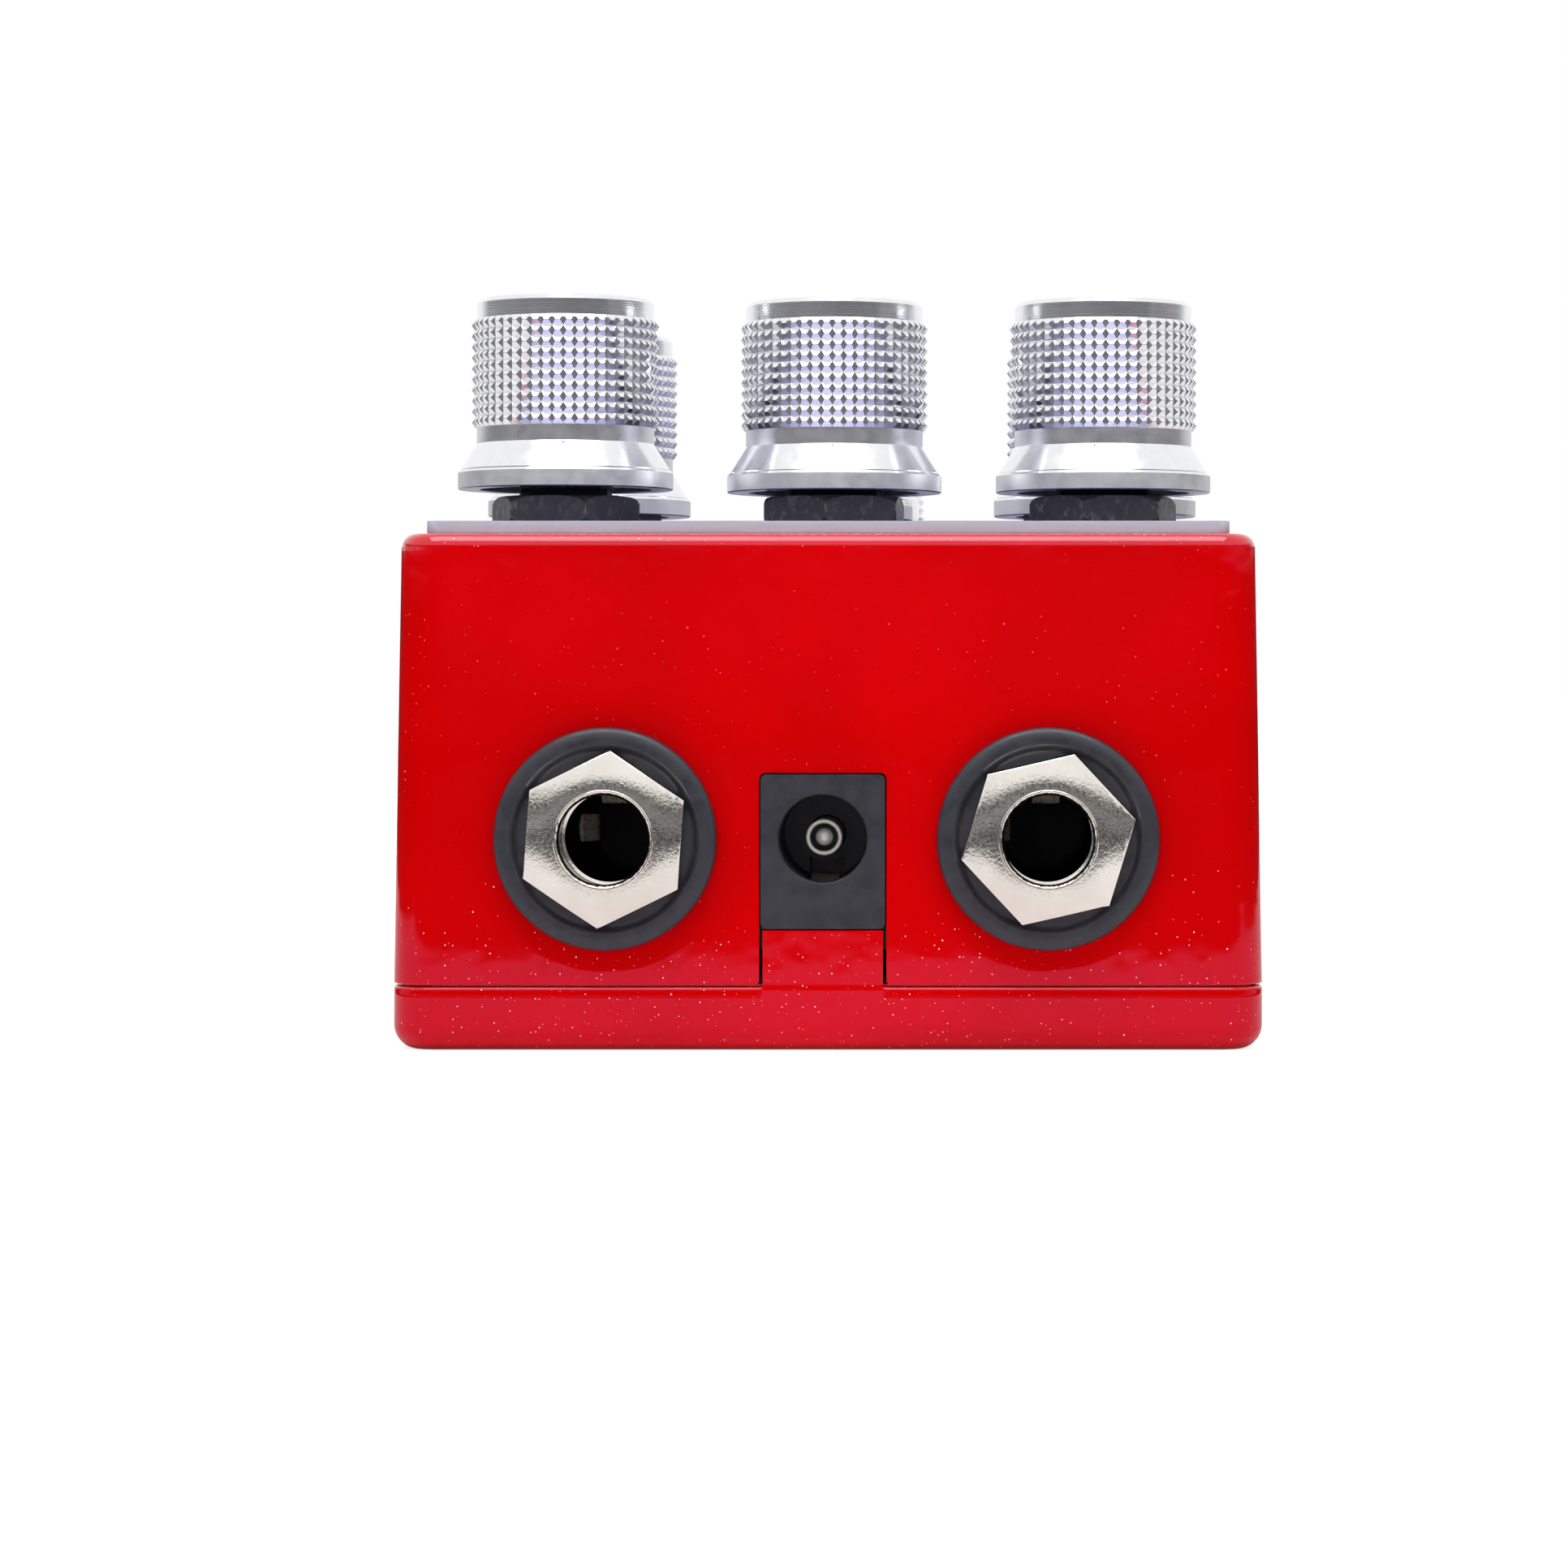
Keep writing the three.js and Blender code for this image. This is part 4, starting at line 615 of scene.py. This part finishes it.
def hexagon(name, flats, outline, hole, turn=0.0):
    """A hex nut across its flats: a hexagon common to a turned outline, less a turned hole, in mm."""
    nut = cylinder(name, 6, flats / math.sqrt(3), outline[0][1], outline[-1][1], turn=30)
    carve(nut, [spun("outline", outline, 96)], "INTERSECT")
    carve(nut, [spun("hole", hole, 64)])
    return place_at(nut, 0, 0, 0, turn=turn)


def mark(piece, name, values, domain="FACE"):
    """Stores a value for each face, or for each point, that its material reads."""
    stored = piece.data.attributes.new(name, "FLOAT", domain)
    stored.data.foreach_set("value", [float(value) for value in values])


def marked(tree, name):
    """The value that a piece stores under a name."""
    return add_node(tree, "Attribute", {"attribute_name": name}).outputs["Fac"]


slate, tree, shader = new_material("slate_plastic", Specular_IOR_Level=0.5)
mould = grained(tree, 4.0, 700)
shade = ramp(tree, mould, 0.3, 0.7)
feed(tree, shader, Base_Color=mixed(tree, shade, (0.022, 0.022, 0.032, 1), (0.032, 0.032, 0.043, 1)))
feed(tree, shader, Roughness=ramp(tree, mould, 0.3, 0.7, 0.33, 0.48))
feed(tree, shader, Normal=raised(tree, grained(tree, 2.0, 3500), 0.3, 0.00003))

black_plastic, tree, shader = new_material("black_plastic", Roughness=0.5, Specular_IOR_Level=0.4)
mould = grained(tree, 3.0, 900)
feed(tree, shader, Base_Color=mixed(tree, mould, (0.008, 0.008, 0.010, 1), (0.016, 0.016, 0.018, 1)))
feed(tree, shader, Roughness=ramp(tree, mould, 0.3, 0.7, 0.4, 0.6))

nickel, tree, shader = new_material("nickel_plate", Metallic=1.0)
plating = grained(tree, 2.0, 4500)
stain = grained(tree, 3.0, 260)
tone = mixed(tree, ramp(tree, stain, 0.3, 0.7), (0.80, 0.75, 0.68, 1), (0.88, 0.84, 0.78, 1))
# Faces marked darkened are near black: painted shade in the power pin's gap, and the dark inside of the
# sleeves' bores.
darkened = marked(tree, "darkened")
feed(tree, shader, Base_Color=mixed(tree, darkened, tone, (0.006, 0.006, 0.007, 1)))
satin = marked(tree, "satin")
metal = calculate(tree, "SUBTRACT", 1.0, times(tree, satin, 0.5))
feed(tree, shader, Metallic=calculate(tree, "SUBTRACT", metal, darkened))
shine = ramp(tree, plating, 0.3, 0.7, 0.12, 0.2)
feed(tree, shader, Roughness=calculate(tree, "ADD", shine, times(tree, satin, 0.25)))
feed(tree, shader, Normal=raised(tree, plating, 0.4, 0.00003))

spring, tree, shader = new_material("spring_nickel", Metallic=0.25)
rolled = grained(tree, 2.0, 3000, 200, 3000)
bare = mixed(tree, rolled, (0.76, 0.63, 0.48, 1), (0.95, 0.84, 0.68, 1))
# The power socket's spring, deep in its bore in the middle of the wall, is painted dark as shade.
painted_bore_shade = ramp(tree, calculate(tree, "ABSOLUTE", own_place(tree)["X"]), 0.005, 0.006, 0.85, 0.0)
feed(tree, shader, Base_Color=mixed(tree, painted_bore_shade, bare, (0.06, 0.045, 0.04, 1)))
feed(tree, shader, Roughness=ramp(tree, rolled, 0.3, 0.7, 0.22, 0.4))


def keep_node(name, material):
    """Gives a CAD node its finish."""
    node = nodes[name]
    if not node.material_slots:
        node.data.materials.append(material)
    for material_slot in node.material_slots:
        material_slot.material = material


# The sleeve's thread stops at a flange behind the wall.
sleeve_profile = [(3.24, SLEEVE_BACK - 1), (6.2, SLEEVE_BACK - 1), (6.2, SLEEVE_BACK),
                  (SLEEVE_RADIUS, SLEEVE_BACK), (SLEEVE_RADIUS, 1.75), (3.5, 1.75), (3.5, SLEEVE_BACK - 0.7),
                  (3.47, SLEEVE_BACK - 0.74), (3.24, SLEEVE_BACK - 0.8)]
washer_profile = [(WASHER_HOLE, 0.03), (7.85, 0.03), (WASHER_RADIUS, 0.13), (WASHER_RADIUS, 0.85), (7.9, 1.0),
                  (7.8, 1.12), (7.6, 1.23), (7.35, WASHER_RIM), (7.05, WASHER_RIM + 0.03),
                  (6.8, WASHER_RIM), (6.66, 1.2), (DISH_RADIUS - 0.08, 1.0),
                  (DISH_RADIUS - 0.25, WASHER_DISH + 0.16), (DISH_RADIUS - 0.4, WASHER_DISH + 0.07),
                  (DISH_RADIUS - 0.6, WASHER_DISH + 0.03), (WASHER_HOLE, WASHER_DISH + 0.03)]
# The nut's face is domed, and a thin lip stands round its tapered mouth.
dome = [(6.4 - 0.35 * step, 1.83 + 0.6 * math.sin(math.radians(84 * step / 8))) for step in range(9)]
nut_outline = [(0, 0.66), (5.3, 0.66), (6.4, 1.1), *dome, (3.56, 2.43), (3.5, 2.5), (0, 2.5)]
nut_hole = [(0, 0), (4.9, 0), (4.9, 1.9), (3.18, 1.9), (3.18, 2.2), (3.25, 2.32), (3.4, 2.5), (3.4, 2.6),
            (0, 2.6)]
for name, x in JACKS.items():
    # The housing is bored for the plug, with a channel for each contact and a slit where its tail comes out.
    housing = block(f"{name}_housing", (x - HOUSING_SIDE, HOUSING_MOUTH, JACK_HEIGHT - HOUSING_HALF_HEIGHT),
                    (x + HOUSING_SIDE, HOUSING_END, JACK_HEIGHT + HOUSING_HALF_HEIGHT))
    finish_edges(housing, 0.35, segments=3)
    plug_bore = spun("plug_bore", [(0, -28.7), (3.3, -28.7), (3.6, -28.2), (3.6, 0), (0, 0)], 64)
    channels = [
        block("roof", (x - CHANNEL_HALF, JACK_WALL, JACK_HEIGHT),
              (x + CHANNEL_HALF, HOUSING_END - 1.2, JACK_HEIGHT + 5.2)),
        block("roof_slit", (x - CHANNEL_HALF, HOUSING_END - 2, JACK_HEIGHT + 4.2),
              (x + CHANNEL_HALF, HOUSING_END + 1, JACK_HEIGHT + 4.8)),
        block("side", (x - 5.7, HOUSING_END - 11, JACK_HEIGHT - CHANNEL_HALF),
              (x, HOUSING_END - 1.2, JACK_HEIGHT + CHANNEL_HALF)),
        block("side_slit", (x - 5.3, HOUSING_END - 2, JACK_HEIGHT - CHANNEL_HALF),
              (x - 4.7, HOUSING_END + 1, JACK_HEIGHT + CHANNEL_HALF))]
    carve(housing, [lay_in_wall(plug_bore, x), *channels])
    dress(housing, black_plastic, "black_plastic", "pedal", f"{name}_jack_housing")
    keep_node(f"{name}_jack_sleeve_contact", spring)
    keep_node(f"{name}_jack_tip_contact", spring)

    sleeve = spun(f"{name}_sleeve", sleeve_profile, 96)
    finish_edges(sleeve)
    # Its bore is dark, down to a bright shoulder.
    mark(sleeve, "darkened", [math.hypot(face.center.x, face.center.y) < 3.52 * MM and abs(face.normal.z) < 0.3
                           for face in sleeve.data.polygons])
    lay_in_wall(sleeve, x)
    dress(sleeve, nickel, "nickel_plate", "pedal", f"{name}_jack_sleeve")

    washer = spun(f"{name}_washer", washer_profile, 128)
    finish_edges(washer)
    lay_in_wall(washer, x)
    dress(washer, slate, "slate_plastic", "pedal", f"{name}_jack_washer")

    nut = hexagon(f"{name}_nut", JACK_NUT_FLATS, nut_outline, nut_hole, turn=NUT_TURNS[name])
    finish_edges(nut, 0.05, sharper_than=50)
    lay_in_wall(nut, x)
    dress(nut, nickel, "nickel_plate", "pedal", f"{name}_jack_nut")

# ---------------------------------------------------------------- power socket
# A moulded grey barrel socket on the jack board, flush with the jack wall in its slot, with a hollow plated
# pin that is pressed in from behind and a sprung outer contact.
CHANNEL_BACK, LEG_FRONT, LEG_BACK = JACK_WALL + 12.4, JACK_WALL + 14.7, JACK_WALL + 15.1

low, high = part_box("dc_jack_housing")
socket = block("power_socket", [v / MM for v in low], [v / MM for v in high])
bevel_edges(socket, 0.4, 4, lambda a, b: abs(a.y - b.y) > 5)
bore = [(0, -10), (3.12, -10), (3.15, -9.9), (3.15, -0.12), (3.22, -0.02), (3.25, 0.01), (3.25, 1), (0, 1)]
# The outer contact lies in a channel under the bore, and its leg drops to the board.
channel = block("channel", (SOCKET_CENTRE - CHANNEL_HALF, JACK_WALL + 2.5, JACK_HEIGHT - 4.8),
                (SOCKET_CENTRE + CHANNEL_HALF, CHANNEL_BACK, JACK_HEIGHT))
drop = block("drop", (SOCKET_CENTRE - CHANNEL_HALF, CHANNEL_BACK - 1.5, 8),
             (SOCKET_CENTRE + CHANNEL_HALF, CHANNEL_BACK, JACK_HEIGHT - 3))
carve(socket, [lay_in_wall(spun("bore", bore, 96), SOCKET_CENTRE), channel, drop])
carve(socket, [lay_in_wall(rod(2.05, -14, -9.9, 48), SOCKET_CENTRE)], "UNION")
carve(socket, [lay_in_wall(rod(1.4, -16, -5, 48), SOCKET_CENTRE)])
finish_edges(socket, 0.1)
dress(socket, slate, "slate_plastic", "pedal", "dc_jack_housing")

# The pin's rim is turned over, and a sprung contact sits domed inside it.
BALL_RADIUS, BALL_HEIGHT = 0.66, -3.95
ball = [(BALL_RADIUS * math.cos(math.radians(a)), BALL_HEIGHT + BALL_RADIUS * math.sin(math.radians(a)))
        for a in range(0, 90, 10)]
pin_profile = [(0, -14.7), (1.25, -14.7), (1.25, -4.2), (1.32, -4), (1.32, -3.2), (1.3, -3.08), (1.22, -3.01),
               (1.1, -3.01), (1.02, -3.08), (1.0, -3.2), (1.0, -4.6), (BALL_RADIUS, -4.6), *ball,
               (0, BALL_HEIGHT + BALL_RADIUS)]
pin = spun("power_pin", pin_profile, 64)
pin_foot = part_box("dc_jack_pin")[0].z / MM
finish_edges(pin)
# The gap round the contact is painted dark, as shade, and the pin is satin all over.
mark(pin, "darkened", [0.665 * MM < math.hypot(face.center.x, face.center.y) < 1.005 * MM
                    and face.center.z < -3.4 * MM for face in pin.data.polygons])
mark(pin, "satin", [1.0] * len(pin.data.polygons))
lay_in_wall(pin, SOCKET_CENTRE)
leg = block("leg", (SOCKET_CENTRE - 1, LEG_FRONT, pin_foot), (SOCKET_CENTRE + 1, LEG_BACK, JACK_HEIGHT))
carve(pin, [leg], "UNION")
dress(pin, nickel, "nickel_plate", "pedal", "dc_jack_pin")
keep_node("dc_jack_contact", spring)

# ---------------------------------------------------------------- pots
# Five sealed board-mounted pots under the top, each clamped by a hex nut with a worn black oxide finish, and
# each with a steel shaft up into its knob.
POT_NUT_FLATS = 10


def mark_edges(piece, width):
    """Rounds a piece's edges and stores where they are, for wear that follows them."""
    piece.data.materials.clear()
    for _ in range(2):
        piece.data.materials.append(None)
    round_edges(piece, width, 3, 25, slot=1)
    mark(piece, "edge", [face.material_index for face in piece.data.polygons])
    for face in piece.data.polygons:
        face.material_index = 0


oxide, tree, shader = new_material("black_oxide", Specular_IOR_Level=0.6)
scuff = grained(tree, 5.0, 1900, 1900, 1300)
smear = grained(tree, 3.0, 500, 500, 200)
edge = marked(tree, "edge")
rub = times(tree, ramp(tree, scuff, 0.50, 0.64), ramp(tree, smear, 0.45, 0.62))
bare_edge = times(tree, edge, ramp(tree, scuff, 0.42, 0.6))
worn = calculate(tree, "MINIMUM", calculate(tree, "ADD", times(tree, rub, 0.75), bare_edge), 1.0)
dull = mixed(tree, scuff, (0.044, 0.043, 0.052, 1), (0.094, 0.091, 0.105, 1))
feed(tree, shader, Base_Color=mixed(tree, worn, dull, (0.30, 0.28, 0.27, 1)))
feed(tree, shader, Metallic=times(tree, worn, 0.9))
feed(tree, shader, Roughness=ramp(tree, scuff, 0.3, 0.7, 0.28, 0.5))
feed(tree, shader, Normal=raised(tree, scuff, 0.5, 0.00005))

pot_metal, tree, shader = new_material("pot_metal", Metallic=0.8, Roughness=0.4)
height = own_place(tree)["Z"]
rolled = grained(tree, 3.0, 500, 2000, 500)
steel = mixed(tree, rolled, (0.36, 0.36, 0.37, 1), (0.52, 0.52, 0.52, 1))
# The bushing, above the box's top wall, is coloured dark.
thread = ramp(tree, height, 0.0355, 0.0365)
feed(tree, shader, Base_Color=mixed(tree, thread, steel, (0.02, 0.02, 0.024, 1)))

pot_outline = [(0, 38.04), (4.75, 38.04), (5.1, 38.12), (5.45, 38.32), (5.75, 38.62), (5.75, 39.76),
               (5.45, 40.06), (5.1, 40.26), (4.75, 40.34), (0, 40.34)]
pot_hole = [(0, 37), (3.65, 37), (3.65, 40.15), (3.85, 40.4), (3.85, 41), (0, 41)]
for number, (x, y, _, _, turn) in enumerate(KNOBS, 1):
    nut = hexagon(f"pot_nut_{number}", POT_NUT_FLATS, pot_outline, pot_hole, turn=turn)
    mark_edges(nut, 0.22)
    finish_edges(nut)
    place_at(nut, x, y, 0)
    dress(nut, oxide, "black_oxide", "pedal", f"pot_{number}_nut")
    keep_node(f"pot_{number}_body", pot_metal)
    keep_node(f"pot_{number}_shaft", zinc)

# ---------------------------------------------------------------- knobs
# Five knobs turned from bright aluminium, each with a knurled grip between two plain bands, a flared skirt,
# an index line cut down its cone, and a socket set screw that grips the shaft's flat.
SKIRT_RADIUS, CONE_FOOT, CONE_TOP = 8.1, 1.45, 3.45
BAND_RADIUS, LIP_RADIUS = 6.68, 6.88
GRIP_LOW, GRIP_HIGH = 4.65, 12.8
KNOB_TOP = 14.3
GROOVE_RADIUS, GRIP_COLUMNS, GRIP_ROWS = 6.76, 52, 10
GRIP_FOOT, ROW_HEIGHT = GRIP_LOW + 0.02, (GRIP_HIGH - GRIP_LOW - 0.04) / GRIP_ROWS
SCREW_HEIGHT = 8.5

knob = spun("knob_blank", [
    (0, 10.8), (3.15, 10.8), (3.15, 3.4), (6.4, 3.4), (6.4, 0.1), (6.5, 0), (8.02, 0), (SKIRT_RADIUS, 0.08),
    (SKIRT_RADIUS, 1.24), (7.99, 1.42), (7.88, 1.38), (7.88, 1.5), (BAND_RADIUS, CONE_TOP),
    (BAND_RADIUS, GRIP_LOW), (LIP_RADIUS, GRIP_LOW + 0.22), (6.3, GRIP_LOW + 0.22), (6.3, GRIP_HIGH - 0.22),
    (LIP_RADIUS, GRIP_HIGH - 0.22), (BAND_RADIUS, GRIP_HIGH), (BAND_RADIUS, KNOB_TOP - 0.33),
    (6.35, KNOB_TOP), (0, KNOB_TOP)], 144)

# Rows of points, each drawn out to a short level ridge, stand on the grip's core.
grip = cylinder("grip", GRIP_COLUMNS, GROOVE_RADIUS, GRIP_FOOT, GRIP_HIGH - 0.02)
for row in range(1, GRIP_ROWS):
    use_only(grip)
    bpy.ops.object.mode_set(mode="EDIT")
    bpy.ops.mesh.select_all(action="SELECT")
    bpy.ops.mesh.bisect(plane_co=(0, 0, (GRIP_FOOT + row * ROW_HEIGHT) * MM), plane_no=(0, 0, 1))
    bpy.ops.object.mode_set(mode="OBJECT")
pick(grip, "FACE", lambda middle, normal: abs(normal.z) < 0.1)
bpy.ops.mesh.inset(thickness=0.24 * MM, depth=0.29 * MM, use_individual=True)
bpy.ops.object.mode_set(mode="OBJECT")
for row in range(GRIP_ROWS):
    ridge_height = GRIP_FOOT + (row + 0.5) * ROW_HEIGHT
    pick(grip, "FACE", lambda middle, normal: abs(middle.z - ridge_height) < 0.1
         and math.hypot(middle.x, middle.y) > GROOVE_RADIUS + 0.25)
    bpy.ops.transform.resize(value=(1, 1, 0.1), center_override=(0, 0, ridge_height * MM))
    bpy.ops.object.mode_set(mode="OBJECT")
carve(knob, [grip], "UNION")

# A shallow V down the cone marks where the knob points.
slope = math.atan2(SKIRT_RADIUS - BAND_RADIUS, CONE_TOP - CONE_FOOT)
index_line = place_at(cylinder("index_line", 4, 0.09, -1.1, 1.1), 0, -(SKIRT_RADIUS + BAND_RADIUS - 0.02) / 2,
                      (CONE_FOOT + CONE_TOP) / 2, tilt=-math.degrees(slope))
screw_hole = place_at(rod(1.65, 2.8, 9, 48), 0, 0, SCREW_HEIGHT, tilt=-90)
carve(knob, [index_line, screw_hole])
finish_edges(knob)
# The skirt's edge is brushed, not turned, and so is the band above the cone, more lightly.
brushed_faces = []
for face in knob.data.polygons:
    rim = math.hypot(face.center.x, face.center.y) > 8 * MM
    band = CONE_TOP * MM < face.center.z < GRIP_LOW * MM
    brushed_faces.append((abs(face.normal.z) < 0.5) * max(rim * 1.0, band * 0.5))
mark(knob, "brushed", brushed_faces)
# Its underside is painted dark violet: shade under the skirt, tinted by the violet plate's reflection.
mark(knob, "painted_underside_shade", [face.normal.z < -0.5 and face.center.z < 0.2 * MM for face in knob.data.polygons])
mark(knob, "radius", [math.hypot(point.co.x, point.co.y) for point in knob.data.vertices], "POINT")

set_screw = spun("set_screw", [(0, 2.65), (1.2, 2.65), (1.5, 2.95), (1.5, 6.1), (1.35, 6.25), (0, 6.25)], 48)
carve(set_screw, [cylinder("key_hole", 6, 0.85, 4.75, 7.75)])
place_at(set_screw, 0, 0, SCREW_HEIGHT, tilt=-90)
finish_edges(set_screw)

aluminium, tree, shader = new_material("turned_aluminium", Metallic=1.0)
height = own_place(tree)["Z"]
line = add_node(tree, "CombineXYZ", X=marked(tree, "radius"), Y=0.0, Z=height).outputs[0]
rings = add_node(tree, "TexNoise", Vector=line, Scale=9000.0, Detail=3.0, Roughness=0.6).outputs["Fac"]
blotch = grained(tree, 4.0, 900)
turned = mixed(tree, blotch, (0.79, 0.80, 0.84, 1), (0.93, 0.93, 0.95, 1))
# The underside's painted shade is mixed in here.
feed(tree, shader, Base_Color=mixed(tree, marked(tree, "painted_underside_shade"), turned, (0.10, 0.09, 0.18, 1)))
polish = ramp(tree, blotch, 0.3, 0.7, 0.11, 0.2)
feed(tree, shader, Roughness=calculate(tree, "ADD", polish, times(tree, marked(tree, "brushed"), 0.32)))
feed(tree, shader, Normal=raised(tree, rings, 0.5, 0.000012))


def copy_of(piece, name):
    """A copy with a mesh of its own."""
    use_only(piece)
    bpy.ops.object.duplicate(linked=False)
    bpy.context.object.name = name
    return bpy.context.object


for number, (x, y, lift, turn, _) in enumerate(KNOBS, 1):
    whole = copy_of(knob, f"control_knob_{number}")
    place_at(whole, x, y, PLATE_TOP + lift, turn=turn)
    dress(whole, aluminium, "turned_aluminium", f"knob_{number}", f"knob_{number}")
    screw = copy_of(set_screw, f"knob_set_screw_{number}")
    place_at(screw, x, y, PLATE_TOP + lift, turn=turn)
    dress(screw, oxide, "black_oxide", f"knob_{number}", f"set_screw_{number}")
bpy.data.objects.remove(knob)
bpy.data.objects.remove(set_screw)

# ---------------------------------------------------------------- status lamp
# A red epoxy lamp, unlit, in a polished bezel that a nut clamps from inside. Its leads are soldered to the
# main board.
BEZEL_LOW, BEZEL_TOP = 38.04, 41.64
LAMP_BASE, LAMP_RADIUS, LAMP_SHOULDER = 32.74, 2.5, 6.1

chrome, tree, shader = new_material("chrome_plate", Metallic=1.0)
haze = grained(tree, 4.0, 500)
feed(tree, shader, Base_Color=mixed(tree, haze, (0.76, 0.76, 0.78, 1), (0.86, 0.86, 0.87, 1)))
feed(tree, shader, Roughness=ramp(tree, haze, 0.35, 0.7, 0.03, 0.09))


def chrome_turning(name, profile, sides, row, body, node):
    """A polished turned piece that stands on the pedal's middle line."""
    piece = spun(name, profile, sides)
    finish_edges(piece)
    place_at(piece, 0, row, 0)
    dress(piece, chrome, "chrome_plate", body, node)


chrome_turning("lamp_bezel", [
    (3.05, 31.7), (3.9, 31.7), (4, 31.8), (4, BEZEL_LOW), (6.1, BEZEL_LOW), (6.2, BEZEL_LOW + 0.1),
    (6.2, 40.74), (6.15, 40.88), (5.6, 41.5), (5.3, BEZEL_TOP), (3.25, BEZEL_TOP), (3.02, 41.54),
    (2.65, 41.24), (2.65, 33.89), (3.05, 33.89)], 128, SECOND_ROW, "pedal", "led_bezel")
keep_node("led_bezel_nut", zinc)

dome = [(LAMP_RADIUS * math.cos(math.radians(a)), LAMP_SHOULDER + LAMP_RADIUS * math.sin(math.radians(a)))
        for a in range(0, 90, 6)]
lens_piece = spun("lamp_lens", [(0, 0), (2.8, 0), (2.9, 0.1), (2.9, 0.9), (2.8, 1), (LAMP_RADIUS, 1), *dome,
                                (0, LAMP_SHOULDER + LAMP_RADIUS)], 64)
leads = [block("lead", (x - 0.25, -0.25, -7.3), (x + 0.25, 0.25, 0.5)) for x in (-1.27, 1.27)]
carve(lens_piece, leads, "UNION")
finish_edges(lens_piece)
place_at(lens_piece, 0, SECOND_ROW, LAMP_BASE)
epoxy, tree, shader = new_material("lamp_red", Roughness=0.08, Coat_Weight=0.5, Coat_Roughness=0.03)
depth = own_place(tree)["Z"]
cloudy = grained(tree, 2.0, 400)
red = mixed(tree, cloudy, (0.30, 0.005, 0.005, 1), (0.42, 0.012, 0.010, 1))
tip = ramp(tree, depth, 0.0405, 0.0414)
feed(tree, shader, Base_Color=mixed(tree, tip, red, (0.22, 0.004, 0.004, 1)))
dress(lens_piece, epoxy, "lamp_red", "pedal", "led_lamp")

# ---------------------------------------------------------------- footswitch
# A latching footswitch. Its polished bushing comes up through the top and is clamped by a washer and a hex
# nut, and its domed plunger slides in the bushing's bore.
THREAD_ROOT, THREAD_CREST, THREAD_PITCH, THREAD_TOP = 5.78, 6.0, 0.8, 45.3
SWITCH_NUT_FLATS = 14

threads = []
height = 38.1
while height < THREAD_TOP:
    threads += [(THREAD_ROOT, height), (THREAD_CREST, height + 0.3), (THREAD_CREST, height + 0.42),
                (THREAD_ROOT, height + 0.72)]
    height += THREAD_PITCH
chrome_turning("switch_bushing", [
    (5.1, 34.9), (5.9, 34.9), (6.0, 35.0), (6.0, 38.0), *threads, (5.85, 45.6), (5.8, 45.8), (5.6, 46.01),
    (5.3, 46.01), (5.1, 45.85)], 96, FOOTSWITCH_ROW, "pedal", "footswitch_bushing")
chrome_turning("switch_washer", [
    (6.15, 38.04), (8.4, 38.04), (8.5, 38.14), (8.5, 38.7), (8.36, 38.84), (6.15, 38.84)],
    128, FOOTSWITCH_ROW, "pedal", "footswitch_washer")

nut_outline = [(0, 38.87), (6.8, 38.87), (7.6, 39.15), (8.08, 39.45), (8.08, 40.79), (7.6, 41.09),
               (6.8, 41.37), (0, 41.37)]
nut_hole = [(0, 38), (6.15, 38), (6.15, 41.15), (6.4, 41.5), (6.4, 42), (0, 42)]
nut = hexagon("switch_nut", SWITCH_NUT_FLATS, nut_outline, nut_hole)
finish_edges(nut, 0.15, segments=3, sharper_than=25)
place_at(nut, 0, FOOTSWITCH_ROW, 0)
dress(nut, chrome, "chrome_plate", "pedal", "footswitch_nut")

chrome_turning("switch_plunger", [
    (0, 33.9), (2.3, 33.9), (2.5, 34.1), (2.5, 40.01), (4.95, 40.01), (4.95, 49.4), (4.9, 49.75),
    (4.75, 50.05), (4.45, 50.28), (3.9, 50.42), (3.0, 50.48), (1.5, 50.505), (0, 50.51)],
    128, FOOTSWITCH_ROW, "footswitch", "footswitch_plunger")
keep_node("footswitch_body", black_plastic)

# ---------------------------------------------------------------- circuit boards
# Three green fibreglass boards: the main board under the pots, the jack board and the footswitch board. Flat
# grey ribbon leads join them.
RIBBON_PITCH = 0.00127

mask, tree, shader = new_material("board_green", Roughness=0.35)
weave = grained(tree, 2.0, 2200)
pads = use_group(tree, specks, Cells=420.0, Share=0.35, Width=0.22)
green = mixed(tree, weave, (0.010, 0.085, 0.035, 1), (0.018, 0.13, 0.06, 1))
feed(tree, shader, Base_Color=mixed(tree, pads["Mask"], green, (0.55, 0.56, 0.55, 1)))
feed(tree, shader, Metallic=times(tree, pads["Mask"], 0.9))

ribbon_grey, tree, shader = new_material("ribbon_grey", Roughness=0.45)
stripe = calculate(tree, "SINE", times(tree, own_place(tree)["X"], math.tau / RIBBON_PITCH))
dirt = grained(tree, 3.0, 300)
grey = mixed(tree, dirt, (0.28, 0.28, 0.29, 1), (0.38, 0.38, 0.39, 1))
# The grooves between its wires are painted darker, as shade.
feed(tree, shader, Base_Color=mixed(tree, ramp(tree, stripe, -1.0, -0.6), (0.18, 0.18, 0.19, 1), grey))
feed(tree, shader, Normal=raised(tree, stripe, 0.6, 0.0001))

for name in ("main_board", "jack_board", "switch_board"):
    keep_node(name, mask)
for name in ("jack_ribbon", "switch_ribbon"):
    keep_node(name, ribbon_grey)
